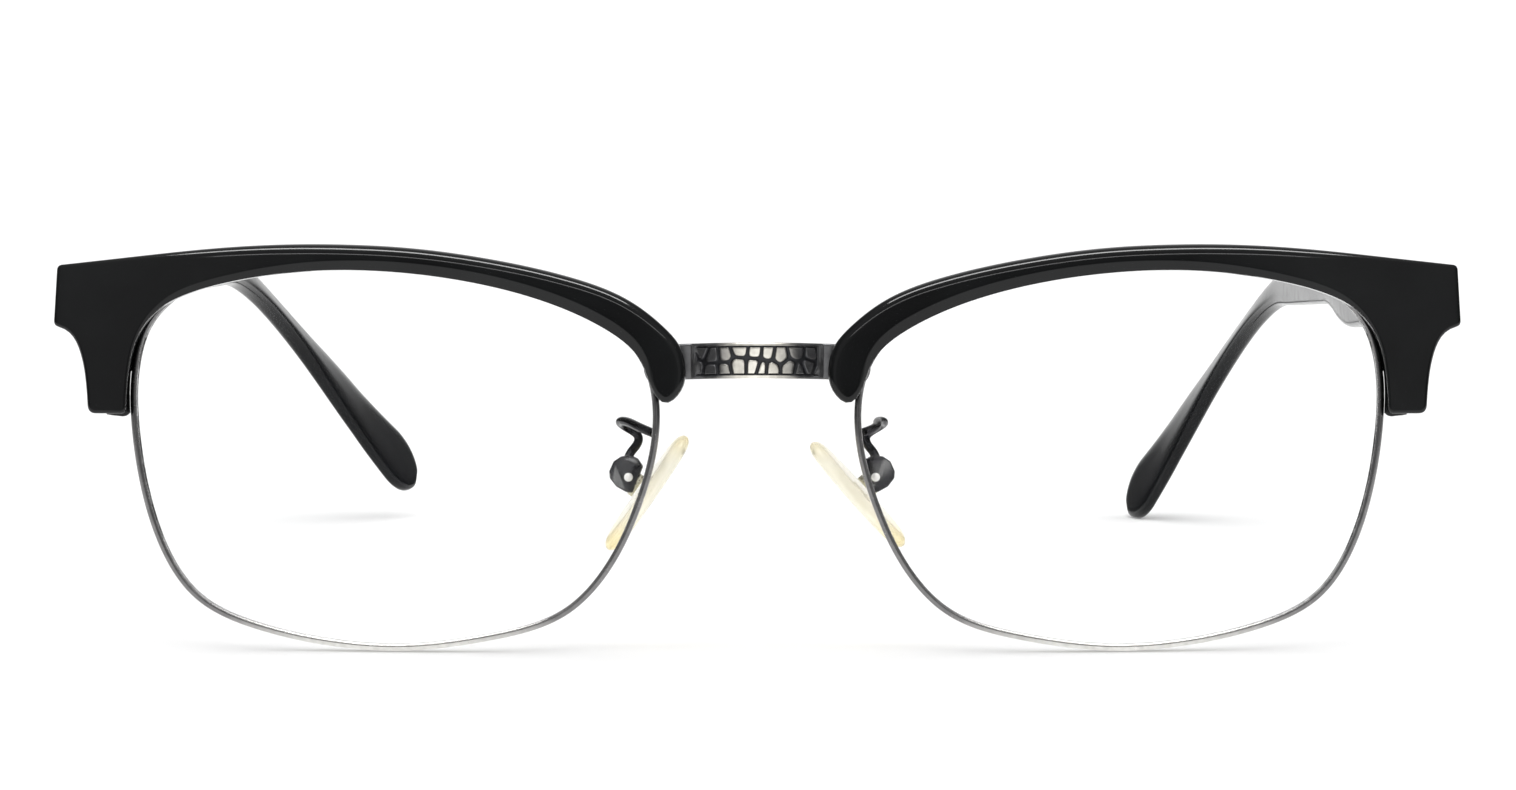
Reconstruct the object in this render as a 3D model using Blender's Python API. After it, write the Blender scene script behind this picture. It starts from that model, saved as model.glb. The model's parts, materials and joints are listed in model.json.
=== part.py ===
"""Half rim (browline) eyeglasses, modelled at real size in metres.

The glasses stand on a table on their two rims and the lower temple tip, front towards -Y, +Z up.
Everything is modelled in the front's own frame (x to the side, y backwards, z up, zero in the middle
of the bridge line) under one empty, which leans the front back until the tips reach the table.
"""

import math

import bmesh
import bpy
import numpy as np
from mathutils import Matrix, Vector
from mathutils.geometry import delaunay_2d_cdt

MM = 0.001
SIDES = {"left": 1, "right": -1}

# How the glasses stand
LEAN_BACK = math.radians(4.1)
STAND_OFFSET = Vector((0.0, -70.66, 25.66)) * MM

# Curved front: both eye wires follow a sphere and wrap back towards the temples
EYE_X = 36.5 * MM
EYE_Z = -6.0 * MM
BASE_RADIUS = 130.0 * MM
FACE_FORM = math.tan(math.radians(4.0))

# Angle between two faces from which their shared edge is drawn sharp
SHARP_ANGLE = 35.0

# Clearances, and how far a cutter reaches past what it cuts
GAP = 0.3 * MM
BORE_GAP = 0.14 * MM
PAST = 1.0 * MM
DEEP = 5.0 * MM

# Rims and lenses
RIM_WALL = 0.7 * MM
RIM_FRONT = -1.05 * MM
RIM_BACK = 0.9 * MM
RIM_GROOVE = 0.35 * MM
RIM_STATIONS = 64
LENS_INSET = 1.0 * MM
LENS_EDGE_INSET = 0.64 * MM
LENS_HALF = 0.85 * MM
LENS_BEVEL = 0.3 * MM
RIM_CHAMFER = 0.3 * MM
RIM_POINTS = [
    (63.05, 0.3), (62.95, -2.5), (62.1, -8.5), (60.3, -14.55), (56.4, -20.4), (50.0, -23.5),
    (42.5, -25.1), (35.6, -25.55), (26.6, -24.5), (18.9, -21.9), (14.6, -17.4), (11.7, -11.5),
    (10.0, -5.5), (9.75, -1.0), (10.7, 3.0), (13.3, 6.5), (17.8, 9.3), (24.5, 11.7), (32.5, 13.3),
    (40.5, 13.95), (48.5, 13.5), (54.6, 12.3), (59.0, 10.1), (61.7, 7.0), (62.75, 3.7),
]

# Brow pieces
BROW_FRONT = -3.2 * MM
BROW_BACK = 0.9 * MM
BROW_BEVEL = 0.4 * MM
BROW_BACK_BEVEL = 0.25 * MM
BROW_PLATE_BACK = RIM_FRONT - GAP
BROW_TOP = [
    (70.6, 13.1), (63.1, 13.85), (54.8, 14.65), (46.7, 15.05), (40.6, 15.0), (34.6, 14.65),
    (26.6, 13.55), (18.6, 11.75), (12.7, 9.4), (9.2, 6.7), (7.6, 4.7), (7.1, 2.6), (7.5, 0.5),
    (9.15, -0.8), (10.3, 0.3), (11.1, 2.5), (12.6, 4.7), (14.7, 6.3), (20.5, 9.05), (28.5, 11.2),
    (36.5, 12.25), (44.5, 12.35),
    (52.6, 11.3), (57.0, 10.1), (60.0, 8.5), (62.1, 5.7), (62.9, 2.6), (63.2, -1.85),
]
BROW_LEG_OUTER = [
    (67.15, -1.85), (67.4, 1.3), (67.9, 3.9), (69.3, 6.35), (70.85, 7.05),
]
CORNER_RADII = {0: 0.6 * MM, 1: 0.6 * MM, 2: 0.9 * MM, 3: 0.6 * MM}

# Spacing of the points inside a sheet on the curved front
BROW_SPACING = 6.0 * MM
SEAT_SPACING = 8.0 * MM
LENS_SPACING = 9.0 * MM
LUG_SPACING = 5.0 * MM

# Rim closing block and its screw
BLOCK_X = (63.35 * MM, 65.9 * MM)
BLOCK_HALF_DEPTH = 1.0 * MM
BLOCK_SPLIT_Z = 0.2 * MM
BLOCK_SPLIT = 0.3 * MM
BLOCK_TOP = 2.1 * MM
BLOCK_ROOM = 0.2 * MM
BLOCK_BOTTOM = -1.5 * MM
RIM_SCREW_RADIUS = 0.45 * MM
RIM_SCREW_HEAD = 0.75 * MM

# Bridge
BRIDGE_MID_Z = 3.3 * MM
BRIDGE_HALF_HEIGHT = 1.8 * MM
BRIDGE_RISE = 0.15 * MM
BRIDGE_THICK = 1.3 * MM
BRIDGE_END_X = 6.6 * MM
BRIDGE_END_Y = 2.95 * MM
BRIDGE_BOW = 3.6 * MM
BRIDGE_PAD_X = 9.4 * MM
BRIDGE_PAD_RADIUS = 2.0 * MM
BRIDGE_BEVEL = 0.25 * MM

# Small fasteners that go through a lug into the brow
BROW_SCREW_RADIUS = 0.5 * MM
BROW_SCREW_HEAD = 0.95 * MM
BROW_SCREW_DEPTH = 1.6 * MM
BROW_SCREW_ROOM = 0.35 * MM
HEAD_HEIGHT = 0.5 * MM
HEAD_GAP = 0.1 * MM
SLOT_HALF = 0.13 * MM
SLOT_DEPTH = 0.28 * MM
LUG_CENTRE = (57.9 * MM, 12.4 * MM)
LUG_RADIUS = 1.5 * MM
LUG_FOOT = 1.9 * MM
LUG_THICK = 0.7 * MM
LUG_SCREW_LIFT = 0.25 * MM

# Hinges: the front leaf lies in a pocket in the brow's back
PIVOT = Vector((62.3, 9.7, 9.6)) * MM
HINGE_BARREL = 1.05 * MM
HINGE_BOTTOM = 7.6 * MM
HINGE_TOP = 12.4 * MM
HINGE_MIDDLE = (9.1 * MM, 10.9 * MM)
HINGE_PLAY = 0.12 * MM
HINGE_SCREW_RADIUS = 0.5 * MM
HINGE_SCREW_HEAD = 0.95 * MM
LEAF_THICK = 0.8 * MM
FRONT_LEAF_Y = 7.0 * MM
FRONT_LEAF_END_X = 68.6 * MM
FRONT_RIVET_X = (64.3 * MM, 67.0 * MM)
FRONT_RIVET_Z = 9.7 * MM
FRONT_RIVET_END_Y = 5.4 * MM
TEMPLE_LEAF_Y = (11.6 * MM, 21.5 * MM)
TEMPLE_LEAF_Z = (8.2 * MM, 11.6 * MM)
TEMPLE_RIVET_Y = (14.5 * MM, 19.0 * MM)
TEMPLE_RIVET_Z = 9.9 * MM
RIVET_RADIUS = 0.5 * MM
RIVET_HEAD = 0.9 * MM
RIVET_HEIGHT = 0.3 * MM

# Temples: a straight run, a bend over the ear, and a drop end that leans inwards.
# Each side is set a little differently, as on a pair that has been worn and adjusted.
TEMPLE_FRONT_Y = 8.8 * MM
TEMPLE_X = 65.2 * MM
TEMPLE_Z = 10.1 * MM
TEMPLE_LENGTH = 143.1 * MM
TEMPLE_STRAIGHT = 86.8 * MM
TEMPLE_BEND_RADIUS = 49.4 * MM
TEMPLE_DROP = math.radians(52.0)
TEMPLE_LEAN_START = 87.1 * MM
TEMPLE_LEAN = {"left": 4.6, "right": 6.0}
TEMPLE_TOPS = ([0.0, 51.6], [2.7, 3.6])
TEMPLE_TWISTS = ([75.0, 107.6, 143.1], [0.0, -27.8, 1.8])
TEMPLE_SPLAY = {"left": math.radians(-1.65), "right": math.radians(-0.5)}
TEMPLE_PITCH = {"left": math.radians(0.75), "right": math.radians(2.35)}
TEMPLE_FLARE = {"left": 6.6, "right": 4.9}
TEMPLE_FLARE_AT = 2
TEMPLE_LENGTHS = [0.0, 12.0, 33.6, 45.6, 84.6, 104.6, 117.6, 129.6, 143.1]
TEMPLE_HEIGHTS = [5.4, 5.8, 6.0, 4.15, 4.15, 3.75, 4.3, 9.15, 10.4]
TEMPLE_THICKS = [3.2, 3.2, 3.0, 2.6, 2.2, 2.2, 2.2, 2.15, 1.95]
TEMPLE_BLEND = 4.0
TEMPLE_STATIONS = 30
TEMPLE_TIP_STATIONS = 4
TEMPLE_SIDES = 10
CORE_END = 128.0 * MM
CORE_HALF = (0.3 * MM, 0.7 * MM)
CORE_GAP = 0.2 * MM

# Nose pads
PAD_PIVOT = {"right": Vector((13.05, 7.6, -8.3)) * MM, "left": Vector((11.95, 7.6, -8.3)) * MM}
PAD_ANGLE = {"right": math.radians(35.0), "left": math.radians(42.0)}
PAD_CENTRE = {"right": Vector((11.2, 7.8, -9.9)) * MM, "left": Vector((10.15, 7.8, -10.05)) * MM}
PAD_SPLAY = math.radians(6.0)
PAD_LENGTH = 14.0 * MM
PAD_WIDTH = 8.0 * MM
PAD_THICK = 1.6 * MM
ARM_RADIUS = 0.45 * MM
ARM_PATH = [
    (10.45, 1.75, -3.8), (11.9, 3.1, -3.2), (13.3, 5.2, -2.65), (13.9, 7.1, -2.8), (13.1, 8.3, -3.4),
    (12.1, 8.3, -4.3), (12.3, 8.0, -5.1), (12.8, 7.7, -5.75),
]
BOX_DEPTH = 2.6 * MM
BOX_OUTLINE = [
    (0.75, 2.1), (-0.3, 2.2), (-0.95, 1.85), (-1.45, 1.1), (-0.4, -1.6), (0.25, -1.5),
    (1.25, -0.95), (1.9, -0.1), (1.95, 0.6), (1.5, 1.6),
]
STEM_SLOT = ((-3.0, -0.62, -3.0), (0.95, 0.62, 1.05))
STEM_FOOT = (0.5 * MM, 0.48 * MM, 1.2 * MM)
STEM_NECK = (0.36 * MM, 0.75 * MM)
STEM_EYE = (0.92 * MM, 0.42 * MM)
PAD_SCREW_RADIUS = 0.42 * MM
PAD_BORE_GAP = 0.1 * MM
PAD_SCREW_HEAD = 0.75 * MM
PAD_SCREW_HEAD_HEIGHT = 0.4 * MM


# ---------------------------------------------------------------- curves and outlines

def smooth_curve(points, count=None, step=None, closed=False):
    """Natural cubic spline through the points, sampled evenly along its length."""
    p = np.array(points, dtype=float)
    wrap = 4
    if closed:
        p = np.vstack([p[-wrap:], p, p[:wrap + 1]])
    t = np.concatenate([[0.0], np.cumsum(np.linalg.norm(np.diff(p, axis=0), axis=1))])
    h = np.diff(t)
    n = len(p)
    system = np.eye(n)
    right = np.zeros_like(p)
    for i in range(1, n - 1):
        system[i, i - 1:i + 2] = h[i - 1], 2 * (h[i - 1] + h[i]), h[i]
        right[i] = 6 * ((p[i + 1] - p[i]) / h[i] - (p[i] - p[i - 1]) / h[i - 1])
    bend = np.linalg.solve(system, right)

    def at(values):
        i = np.clip(np.searchsorted(t, values) - 1, 0, n - 2)
        a = ((t[i + 1] - values) / h[i])[:, None]
        b = 1 - a
        hh = (h[i] ** 2)[:, None] / 6
        return a * p[i] + b * p[i + 1] + hh * ((a ** 3 - a) * bend[i] + (b ** 3 - b) * bend[i + 1])

    low, high = (t[wrap], t[-wrap - 1]) if closed else (t[0], t[-1])
    fine = np.linspace(low, high, 2001)
    dense = at(fine)
    run = np.concatenate([[0.0], np.cumsum(np.linalg.norm(np.diff(dense, axis=0), axis=1))])
    if count is None:
        count = max(2, round(run[-1] / step))
    even = np.linspace(0.0, run[-1], count + 1)
    samples = at(np.interp(even, run, fine))
    return samples[:-1] if closed else samples


def arc_corner(before, corner, after, radius, steps=3):
    """Points of a round corner that replaces a sharp one."""
    a = (before - corner) / np.linalg.norm(before - corner)
    b = (after - corner) / np.linalg.norm(after - corner)
    half = math.acos(max(-1.0, min(1.0, float(a @ b)))) / 2
    reach = radius / math.tan(half)
    start = corner + a * reach
    end = corner + b * reach
    points = []
    for i in range(steps + 1):
        f = i / steps
        points.append((1 - f) ** 2 * start + 2 * f * (1 - f) * corner + f ** 2 * end)
    return points


def brow_outline():
    """The brow's outline for the +X side: top, bulb, lens side, leg and end tab."""
    top = smooth_curve(np.array(BROW_TOP) * MM, step=2.4 * MM)
    leg = smooth_curve(np.array(BROW_LEG_OUTER) * MM, step=2.0 * MM)
    runs = [top, leg]
    outline = []
    corner = 0
    for i, run in enumerate(runs):
        previous = runs[i - 1]
        following = runs[(i + 1) % len(runs)]
        outline += arc_corner(previous[-1], run[0], run[1], CORNER_RADII[corner])
        outline += list(run[1:-1])
        outline += arc_corner(run[-2], run[-1], following[0], CORNER_RADII[corner + 1])
        corner += 2
    return np.array(outline)


def outline_normals(outline):
    """Unit vectors that point out of a closed outline, and the miter stretch at each point."""
    ahead = np.roll(outline, -1, axis=0) - outline
    ahead /= np.linalg.norm(ahead, axis=1)[:, None]
    behind = np.roll(ahead, 1, axis=0)
    tangent = ahead + behind
    tangent /= np.linalg.norm(tangent, axis=1)[:, None]
    x, z = outline[:, 0], outline[:, 1]
    turning = np.sum(x * np.roll(z, -1) - np.roll(x, -1) * z)
    sign = 1.0 if turning > 0 else -1.0
    normal = np.stack([tangent[:, 1], -tangent[:, 0]], axis=1) * sign
    stretch = 1 / np.clip(np.sum(tangent * ahead, axis=1), 0.5, 1.0)
    return normal, stretch


def inset(outline, amount):
    """The outline moved inwards by amount (outwards where it is negative)."""
    normal, stretch = outline_normals(outline)
    return outline - normal * (amount * stretch)[:, None]


def rim_outline():
    """Outer outline of the +X rim, starting at the closing block."""
    return smooth_curve(np.array(RIM_POINTS) * MM, count=RIM_STATIONS, closed=True)


def front_depth(x, z):
    """How far the curved front lies behind its foremost point."""
    dx = abs(x) - EYE_X
    dz = z - EYE_Z
    return (dx * dx + dz * dz) / (2 * BASE_RADIUS) + FACE_FORM * dx


# ---------------------------------------------------------------- mesh building

class Mesh:
    """Vertices and faces that functions add to before they become an object."""

    def __init__(self):
        self.verts = []
        self.faces = []

    def add_ring(self, points):
        first = len(self.verts)
        self.verts += [tuple(p) for p in points]
        return list(range(first, first + len(points)))

    def join_rings(self, a, b):
        for i in range(len(a)):
            j = (i + 1) % len(a)
            self.faces.append((a[i], a[j], b[j], b[i]))

    def mirrored(self, side):
        verts = self.verts
        faces = self.faces
        if side < 0:
            verts = [(-x, y, z) for x, y, z in verts]
            faces = [tuple(reversed(face)) for face in faces]
        return verts, faces


def cap_outline(mesh, ring, y, spacing):
    """Fill a ring that lies on the curved front with a triangulated sheet."""
    flat = [Vector((mesh.verts[i][0], mesh.verts[i][2])) for i in ring]
    box_low = Vector((min(p.x for p in flat), min(p.y for p in flat)))
    box_high = Vector((max(p.x for p in flat), max(p.y for p in flat)))
    points = list(flat)
    steps_x = int((box_high.x - box_low.x) / spacing)
    steps_z = int((box_high.y - box_low.y) / spacing)
    for i in range(1, steps_x + 1):
        for j in range(1, steps_z + 1):
            p = Vector((box_low.x + i * spacing, box_low.y + j * spacing))
            if inside_by(p, flat, spacing * 0.45):
                points.append(p)
    edges = [(i, (i + 1) % len(flat)) for i in range(len(flat))]
    out_points, _, triangles, sources, _, _ = delaunay_2d_cdt(points, edges, [], 1, 1e-9)
    index = {}
    for i, source in enumerate(sources):
        if source and source[0] < len(flat):
            index[i] = ring[source[0]]
        else:
            x, z = out_points[i]
            mesh.verts.append((x, y + front_depth(x, z), z))
            index[i] = len(mesh.verts) - 1
    return [tuple(index[i] for i in triangle) for triangle in triangles]


def inside_by(point, polygon, margin):
    """True where a point is inside a polygon and at least margin from its edges."""
    inside = False
    for i in range(len(polygon)):
        a = polygon[i - 1]
        b = polygon[i]
        if (a.y > point.y) != (b.y > point.y):
            if point.x < (b.x - a.x) * (point.y - a.y) / (b.y - a.y) + a.x:
                inside = not inside
        along = b - a
        f = max(0.0, min(1.0, (point - a).dot(along) / along.length_squared))
        if (a + along * f - point).length < margin:
            return False
    return inside


def front_slab(levels, spacing):
    """Closed solid on the curved front: levels are (outline, y) from front to back."""
    mesh = Mesh()
    rings = []
    for outline, y in levels:
        rings.append(mesh.add_ring([(x, y + front_depth(x, z), z) for x, z in outline]))
    for a, b in zip(rings, rings[1:]):
        mesh.join_rings(a, b)
    mesh.faces += cap_outline(mesh, rings[0], levels[0][1], spacing)
    mesh.faces += cap_outline(mesh, rings[-1], levels[-1][1], spacing)
    return mesh


def loft(sections):
    """Closed solid through rings of points, with a flat face on each end."""
    mesh = Mesh()
    rings = [mesh.add_ring(section) for section in sections]
    for a, b in zip(rings, rings[1:]):
        mesh.join_rings(a, b)
    mesh.faces.append(tuple(rings[0]))
    mesh.faces.append(tuple(reversed(rings[-1])))
    return mesh


def turned(profile, place, segments=10):
    """Solid of revolution: profile is (radius, height) along the place matrix's z axis."""
    sections = []
    for radius, height in profile:
        ring = []
        for i in range(segments):
            a = 2 * math.pi * i / segments
            ring.append(place @ Vector((radius * math.cos(a), radius * math.sin(a), height)))
        sections.append(ring)
    return loft(sections)


def block(low, high, turn=None):
    """Box between two corners, turned by a matrix if one is given."""
    mesh = Mesh()
    for z in (low[2], high[2]):
        corners = [(low[0], low[1], z), (high[0], low[1], z), (high[0], high[1], z), (low[0], high[1], z)]
        mesh.add_ring([turn @ Vector(c) if turn else c for c in corners])
    mesh.join_rings([0, 1, 2, 3], [4, 5, 6, 7])
    mesh.faces += [(3, 2, 1, 0), (4, 5, 6, 7)]
    return mesh


def axis_place(origin, direction):
    """Matrix whose z axis points along direction from origin."""
    turn = Vector((0, 0, 1)).rotation_difference(Vector(direction)).to_matrix().to_4x4()
    return Matrix.Translation(origin) @ turn


# ---------------------------------------------------------------- objects

def clear_scene():
    for item in list(bpy.data.objects):
        bpy.data.objects.remove(item, do_unlink=True)


def material(name, color, roughness, metallic, alpha=1.0):
    made = bpy.data.materials.new(name)
    made.use_nodes = True
    shader = made.node_tree.nodes["Principled BSDF"]
    shader.inputs["Base Color"].default_value = (*color, 1.0)
    shader.inputs["Roughness"].default_value = roughness
    shader.inputs["Metallic"].default_value = metallic
    shader.inputs["Alpha"].default_value = alpha
    return made


def add_empty(name, location, parent=None):
    empty = bpy.data.objects.new(name, None)
    empty.location = location
    empty.parent = parent
    bpy.context.scene.collection.objects.link(empty)
    return empty


def side_vector(vector, side):
    return Vector((vector[0] * side, vector[1], vector[2]))


def add_object(name, mesh, side, look, parent, origin=(0, 0, 0)):
    """Make an object whose own origin is at origin, given in its parent's frame for the +X side."""
    verts, faces = mesh.mirrored(side)
    at = side_vector(origin, side)
    data = bpy.data.meshes.new(name)
    data.from_pydata([Vector(v) - at for v in verts], [], faces)
    face_outwards(data)
    data.shade_smooth()
    data.set_sharp_from_angle(angle=math.radians(SHARP_ANGLE))
    if look:
        data.materials.append(look)
    item = bpy.data.objects.new(name, data)
    item.location = at
    item.parent = parent
    bpy.context.scene.collection.objects.link(item)
    return item


def face_outwards(data):
    work = bmesh.new()
    work.from_mesh(data)
    bmesh.ops.recalc_face_normals(work, faces=work.faces)
    work.to_mesh(data)
    work.free()


def cut(target, mesh, side, parent, name):
    """Take a hidden cutter away from a target with a Boolean."""
    cutter = add_object(name, mesh, side, None, parent)
    cutter.hide_render = True
    cutter.display_type = "WIRE"
    modifier = target.modifiers.new(name, "BOOLEAN")
    modifier.operation = "DIFFERENCE"
    modifier.solver = "EXACT"
    modifier.object = cutter


# ---------------------------------------------------------------- front pieces

def make_brow(side_name, side, look, root):
    outline = brow_outline()
    levels = [
        (inset(outline, BROW_BEVEL), BROW_FRONT),
        (inset(outline, BROW_BEVEL * 0.3), BROW_FRONT + BROW_BEVEL * 0.3),
        (outline, BROW_FRONT + BROW_BEVEL),
        (outline, BROW_BACK - BROW_BACK_BEVEL),
        (inset(outline, BROW_BACK_BEVEL), BROW_BACK),
    ]
    brow = add_object("brow_" + side_name, front_slab(levels, BROW_SPACING), side, look, root)
    seat = inset(rim_outline(), -GAP)
    seat_cutter = front_slab([(seat, BROW_PLATE_BACK), (seat, DEEP)], SEAT_SPACING)
    cut(brow, seat_cutter, side, root, "cut_rim_seat_" + side_name)
    cut(brow, block_pocket(), side, root, "cut_block_pocket_" + side_name)
    for number, centre in enumerate((bridge_pad_centre(), Vector((LUG_CENTRE[0], 0, LUG_CENTRE[1])))):
        hole = screw_hole(centre)
        cut(brow, hole, side, root, f"cut_screw_hole_{number}_{side_name}")
    cut(brow, leaf_pocket(), side, root, "cut_leaf_pocket_" + side_name)
    for number, x in enumerate(FRONT_RIVET_X):
        radius = RIVET_RADIUS + BORE_GAP
        hole = turned([(radius, FRONT_RIVET_END_Y - GAP), (radius, FRONT_LEAF_Y + PAST)],
                      axis_place((x, 0, FRONT_RIVET_Z), (0, 1, 0)))
        cut(brow, hole, side, root, f"cut_rivet_hole_{number}_{side_name}")


def block_pocket():
    """Room for the closing block behind the leg, open below for the screwdriver."""
    mid = front_depth(BLOCK_X[1], 0)
    low = (BLOCK_X[0] - 2 * PAST, mid + BROW_PLATE_BACK - BLOCK_ROOM, BLOCK_BOTTOM - 2 * PAST)
    high = (BLOCK_X[1] + GAP, mid + DEEP, BLOCK_TOP + GAP)
    return block(low, high)


def leaf_pocket():
    """Flat-floored pocket in the brow's back for the front hinge leaf."""
    low = (PIVOT.x - 3 * PAST, FRONT_LEAF_Y - GAP, HINGE_BOTTOM - GAP)
    high = (FRONT_LEAF_END_X + GAP, FRONT_LEAF_Y + DEEP, HINGE_TOP + GAP)
    return block(low, high)


def surface_point(x, z, y):
    return Vector((x, y + front_depth(x, z), z))


def screw_hole(centre):
    """Blind hole from the brow's back for a screw or rivet."""
    back = surface_point(centre[0], centre[2], BROW_BACK)
    radius = BROW_SCREW_RADIUS + BORE_GAP
    depth = BROW_SCREW_DEPTH + BROW_SCREW_ROOM
    return turned([(radius, -depth), (radius, 2 * PAST)], axis_place(back, (0, 1, 0)))


def make_rim(side_name, side, look, root):
    """Swept rim section, open at the closing block."""
    outline = rim_outline()
    normal, stretch = outline_normals(outline)
    split = BLOCK_SPLIT / 2
    first = outline[0].copy()
    section = [
        (0.0, RIM_FRONT + RIM_CHAMFER), (0.0, RIM_BACK), (RIM_WALL, RIM_BACK), (RIM_WALL, RIM_GROOVE),
        (RIM_GROOVE, 0.0), (RIM_WALL, -RIM_GROOVE), (RIM_WALL, RIM_FRONT + RIM_CHAMFER),
        (RIM_WALL * 0.45, RIM_FRONT),
    ]
    sections = []
    order = list(range(len(outline))) + [0]
    for place, i in enumerate(order):
        point = outline[i].copy()
        if place == 0:
            point = np.array([first[0], BLOCK_SPLIT_Z - split])
        if place == len(order) - 1:
            point = np.array([first[0], BLOCK_SPLIT_Z + split])
        ring = []
        for inwards, y in section:
            x, z = point - normal[i] * inwards * stretch[i]
            ring.append((x, y + front_depth(x, z), z))
        sections.append(ring)
    add_object("rim_" + side_name, loft(sections), side, look, root)


def make_lens(side_name, side, look, root):
    outline = rim_outline()
    face = inset(outline, LENS_INSET)
    edge = inset(outline, LENS_EDGE_INSET)
    shoulder = inset(outline, RIM_WALL + GAP)
    levels = [(face, -LENS_HALF), (shoulder, -LENS_BEVEL), (edge, 0.0), (shoulder, LENS_BEVEL),
              (face, LENS_HALF)]
    add_object("lens_" + side_name, front_slab(levels, LENS_SPACING), side, look, root)


def make_closing_block(side_name, side, looks, root):
    """Two half blocks beside the rim's cut, and the screw that joins them."""
    mid_x = (BLOCK_X[0] + BLOCK_X[1]) / 2
    mid_y = front_depth(mid_x, 0)
    halves = {
        "upper": (BLOCK_SPLIT_Z + BLOCK_SPLIT / 2, BLOCK_TOP),
        "lower": (BLOCK_BOTTOM, BLOCK_SPLIT_Z - BLOCK_SPLIT / 2),
    }
    for half, (low_z, high_z) in halves.items():
        low = (BLOCK_X[0], mid_y - BLOCK_HALF_DEPTH, low_z)
        high = (BLOCK_X[1], mid_y + BLOCK_HALF_DEPTH, high_z)
        name = f"rim_block_{half}_{side_name}"
        item = add_object(name, block(low, high), side, looks["gunmetal"], root)
        radius = RIM_SCREW_RADIUS + BORE_GAP
        bore = turned([(radius, low_z - PAST), (radius, high_z + PAST)],
                      Matrix.Translation((mid_x, mid_y, 0)))
        cut(item, bore, side, root, "cut_" + name)
    head = BLOCK_BOTTOM - BORE_GAP
    profile = [
        (RIM_SCREW_HEAD, head - HEAD_HEIGHT), (RIM_SCREW_HEAD, head),
        (RIM_SCREW_RADIUS, head), (RIM_SCREW_RADIUS, BLOCK_TOP),
    ]
    screw = add_object("rim_screw_" + side_name,
                       turned(profile, Matrix.Translation((mid_x, mid_y, 0))), side, looks["steel"], root)
    slot = Vector((mid_x, mid_y, head - HEAD_HEIGHT))
    cut_slot(screw, slot, (0, 0, 1), side, root, RIM_SCREW_HEAD)


def cut_slot(screw, point, direction, side, parent, head_radius):
    """Straight slot across a screw head: direction points into the head."""
    place = axis_place(point, direction)
    wide = head_radius * 1.4
    slot = block((-wide, -SLOT_HALF, -SLOT_DEPTH), (wide, SLOT_HALF, SLOT_DEPTH), place)
    cut(screw, slot, side, parent, "cut_slot_" + screw.name)


def bridge_pad_centre():
    return Vector((BRIDGE_PAD_X, 0, BRIDGE_MID_Z - 0.6 * MM))


def bridge_front_y(x):
    """Front face of the bridge: bowed forwards between the brows."""
    f = min(1.0, abs(x) / BRIDGE_END_X)
    return BRIDGE_END_Y - BRIDGE_BOW * (1 - f * f)


def make_bridge(looks, root):
    """Bar swept from pad to pad, and the round pads joined to its ends."""
    sections = []
    count = 16
    reach = BRIDGE_PAD_X - 0.5 * MM
    for i in range(count + 1):
        x = -reach + 2 * reach * i / count
        z = BRIDGE_MID_Z + BRIDGE_RISE * (1 - (x / reach) ** 2)
        front = bridge_front_y(x)
        half = BRIDGE_HALF_HEIGHT
        edge = BRIDGE_BEVEL
        ring = [
            (x, front, z - half + edge), (x, front, z + half - edge), (x, front + edge, z + half),
            (x, front + BRIDGE_THICK, z + half), (x, front + BRIDGE_THICK, z - half),
            (x, front + edge, z - half),
        ]
        sections.append(ring)
    bridge = add_object("bridge", loft(sections), 1, looks["gunmetal"], root)
    for side_name, side in SIDES.items():
        centre = bridge_pad_centre()
        place = axis_place(Vector((centre.x, BRIDGE_END_Y, centre.z)), (0, 1, 0))
        pad = turned([(BRIDGE_PAD_RADIUS, 0), (BRIDGE_PAD_RADIUS, BRIDGE_THICK)], place, 20)
        add_to(bridge, pad, side, root, "pad_" + side_name)
        radius = BROW_SCREW_RADIUS + BORE_GAP
        bore = turned([(radius, -PAST), (radius, 3 * PAST)], place)
        cut(bridge, bore, side, root, "cut_bridge_pad_" + side_name)
        back = Vector((centre.x, BRIDGE_END_Y + BRIDGE_THICK, centre.z))
        make_brow_screw("bridge_screw_" + side_name, back, side, looks["steel"], root)


def add_to(target, mesh, side, parent, name):
    """Join a hidden solid to a target with a Boolean union."""
    extra = add_object(name, mesh, side, None, parent)
    extra.hide_render = True
    extra.display_type = "WIRE"
    modifier = target.modifiers.new(name, "BOOLEAN")
    modifier.operation = "UNION"
    modifier.solver = "EXACT"
    modifier.object = extra


def make_brow_screw(name, seat, side, look, root):
    """Slotted screw from behind: seat is the point of the lug's back face on its axis."""
    brow_back = surface_point(seat.x, seat.z, BROW_BACK).y
    length = seat.y - brow_back + BROW_SCREW_DEPTH
    profile = [
        (BROW_SCREW_RADIUS, -length), (BROW_SCREW_RADIUS, HEAD_GAP), (BROW_SCREW_HEAD, HEAD_GAP),
        (BROW_SCREW_HEAD, HEAD_GAP + HEAD_HEIGHT * 0.7), (BROW_SCREW_HEAD * 0.7, HEAD_GAP + HEAD_HEIGHT),
    ]
    screw = add_object(name, turned(profile, axis_place(seat, (0, 1, 0))), side, look, root)
    top = seat + Vector((0, HEAD_GAP + HEAD_HEIGHT, 0))
    cut_slot(screw, top, (0, -1, 0), side, root, BROW_SCREW_HEAD)


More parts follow.
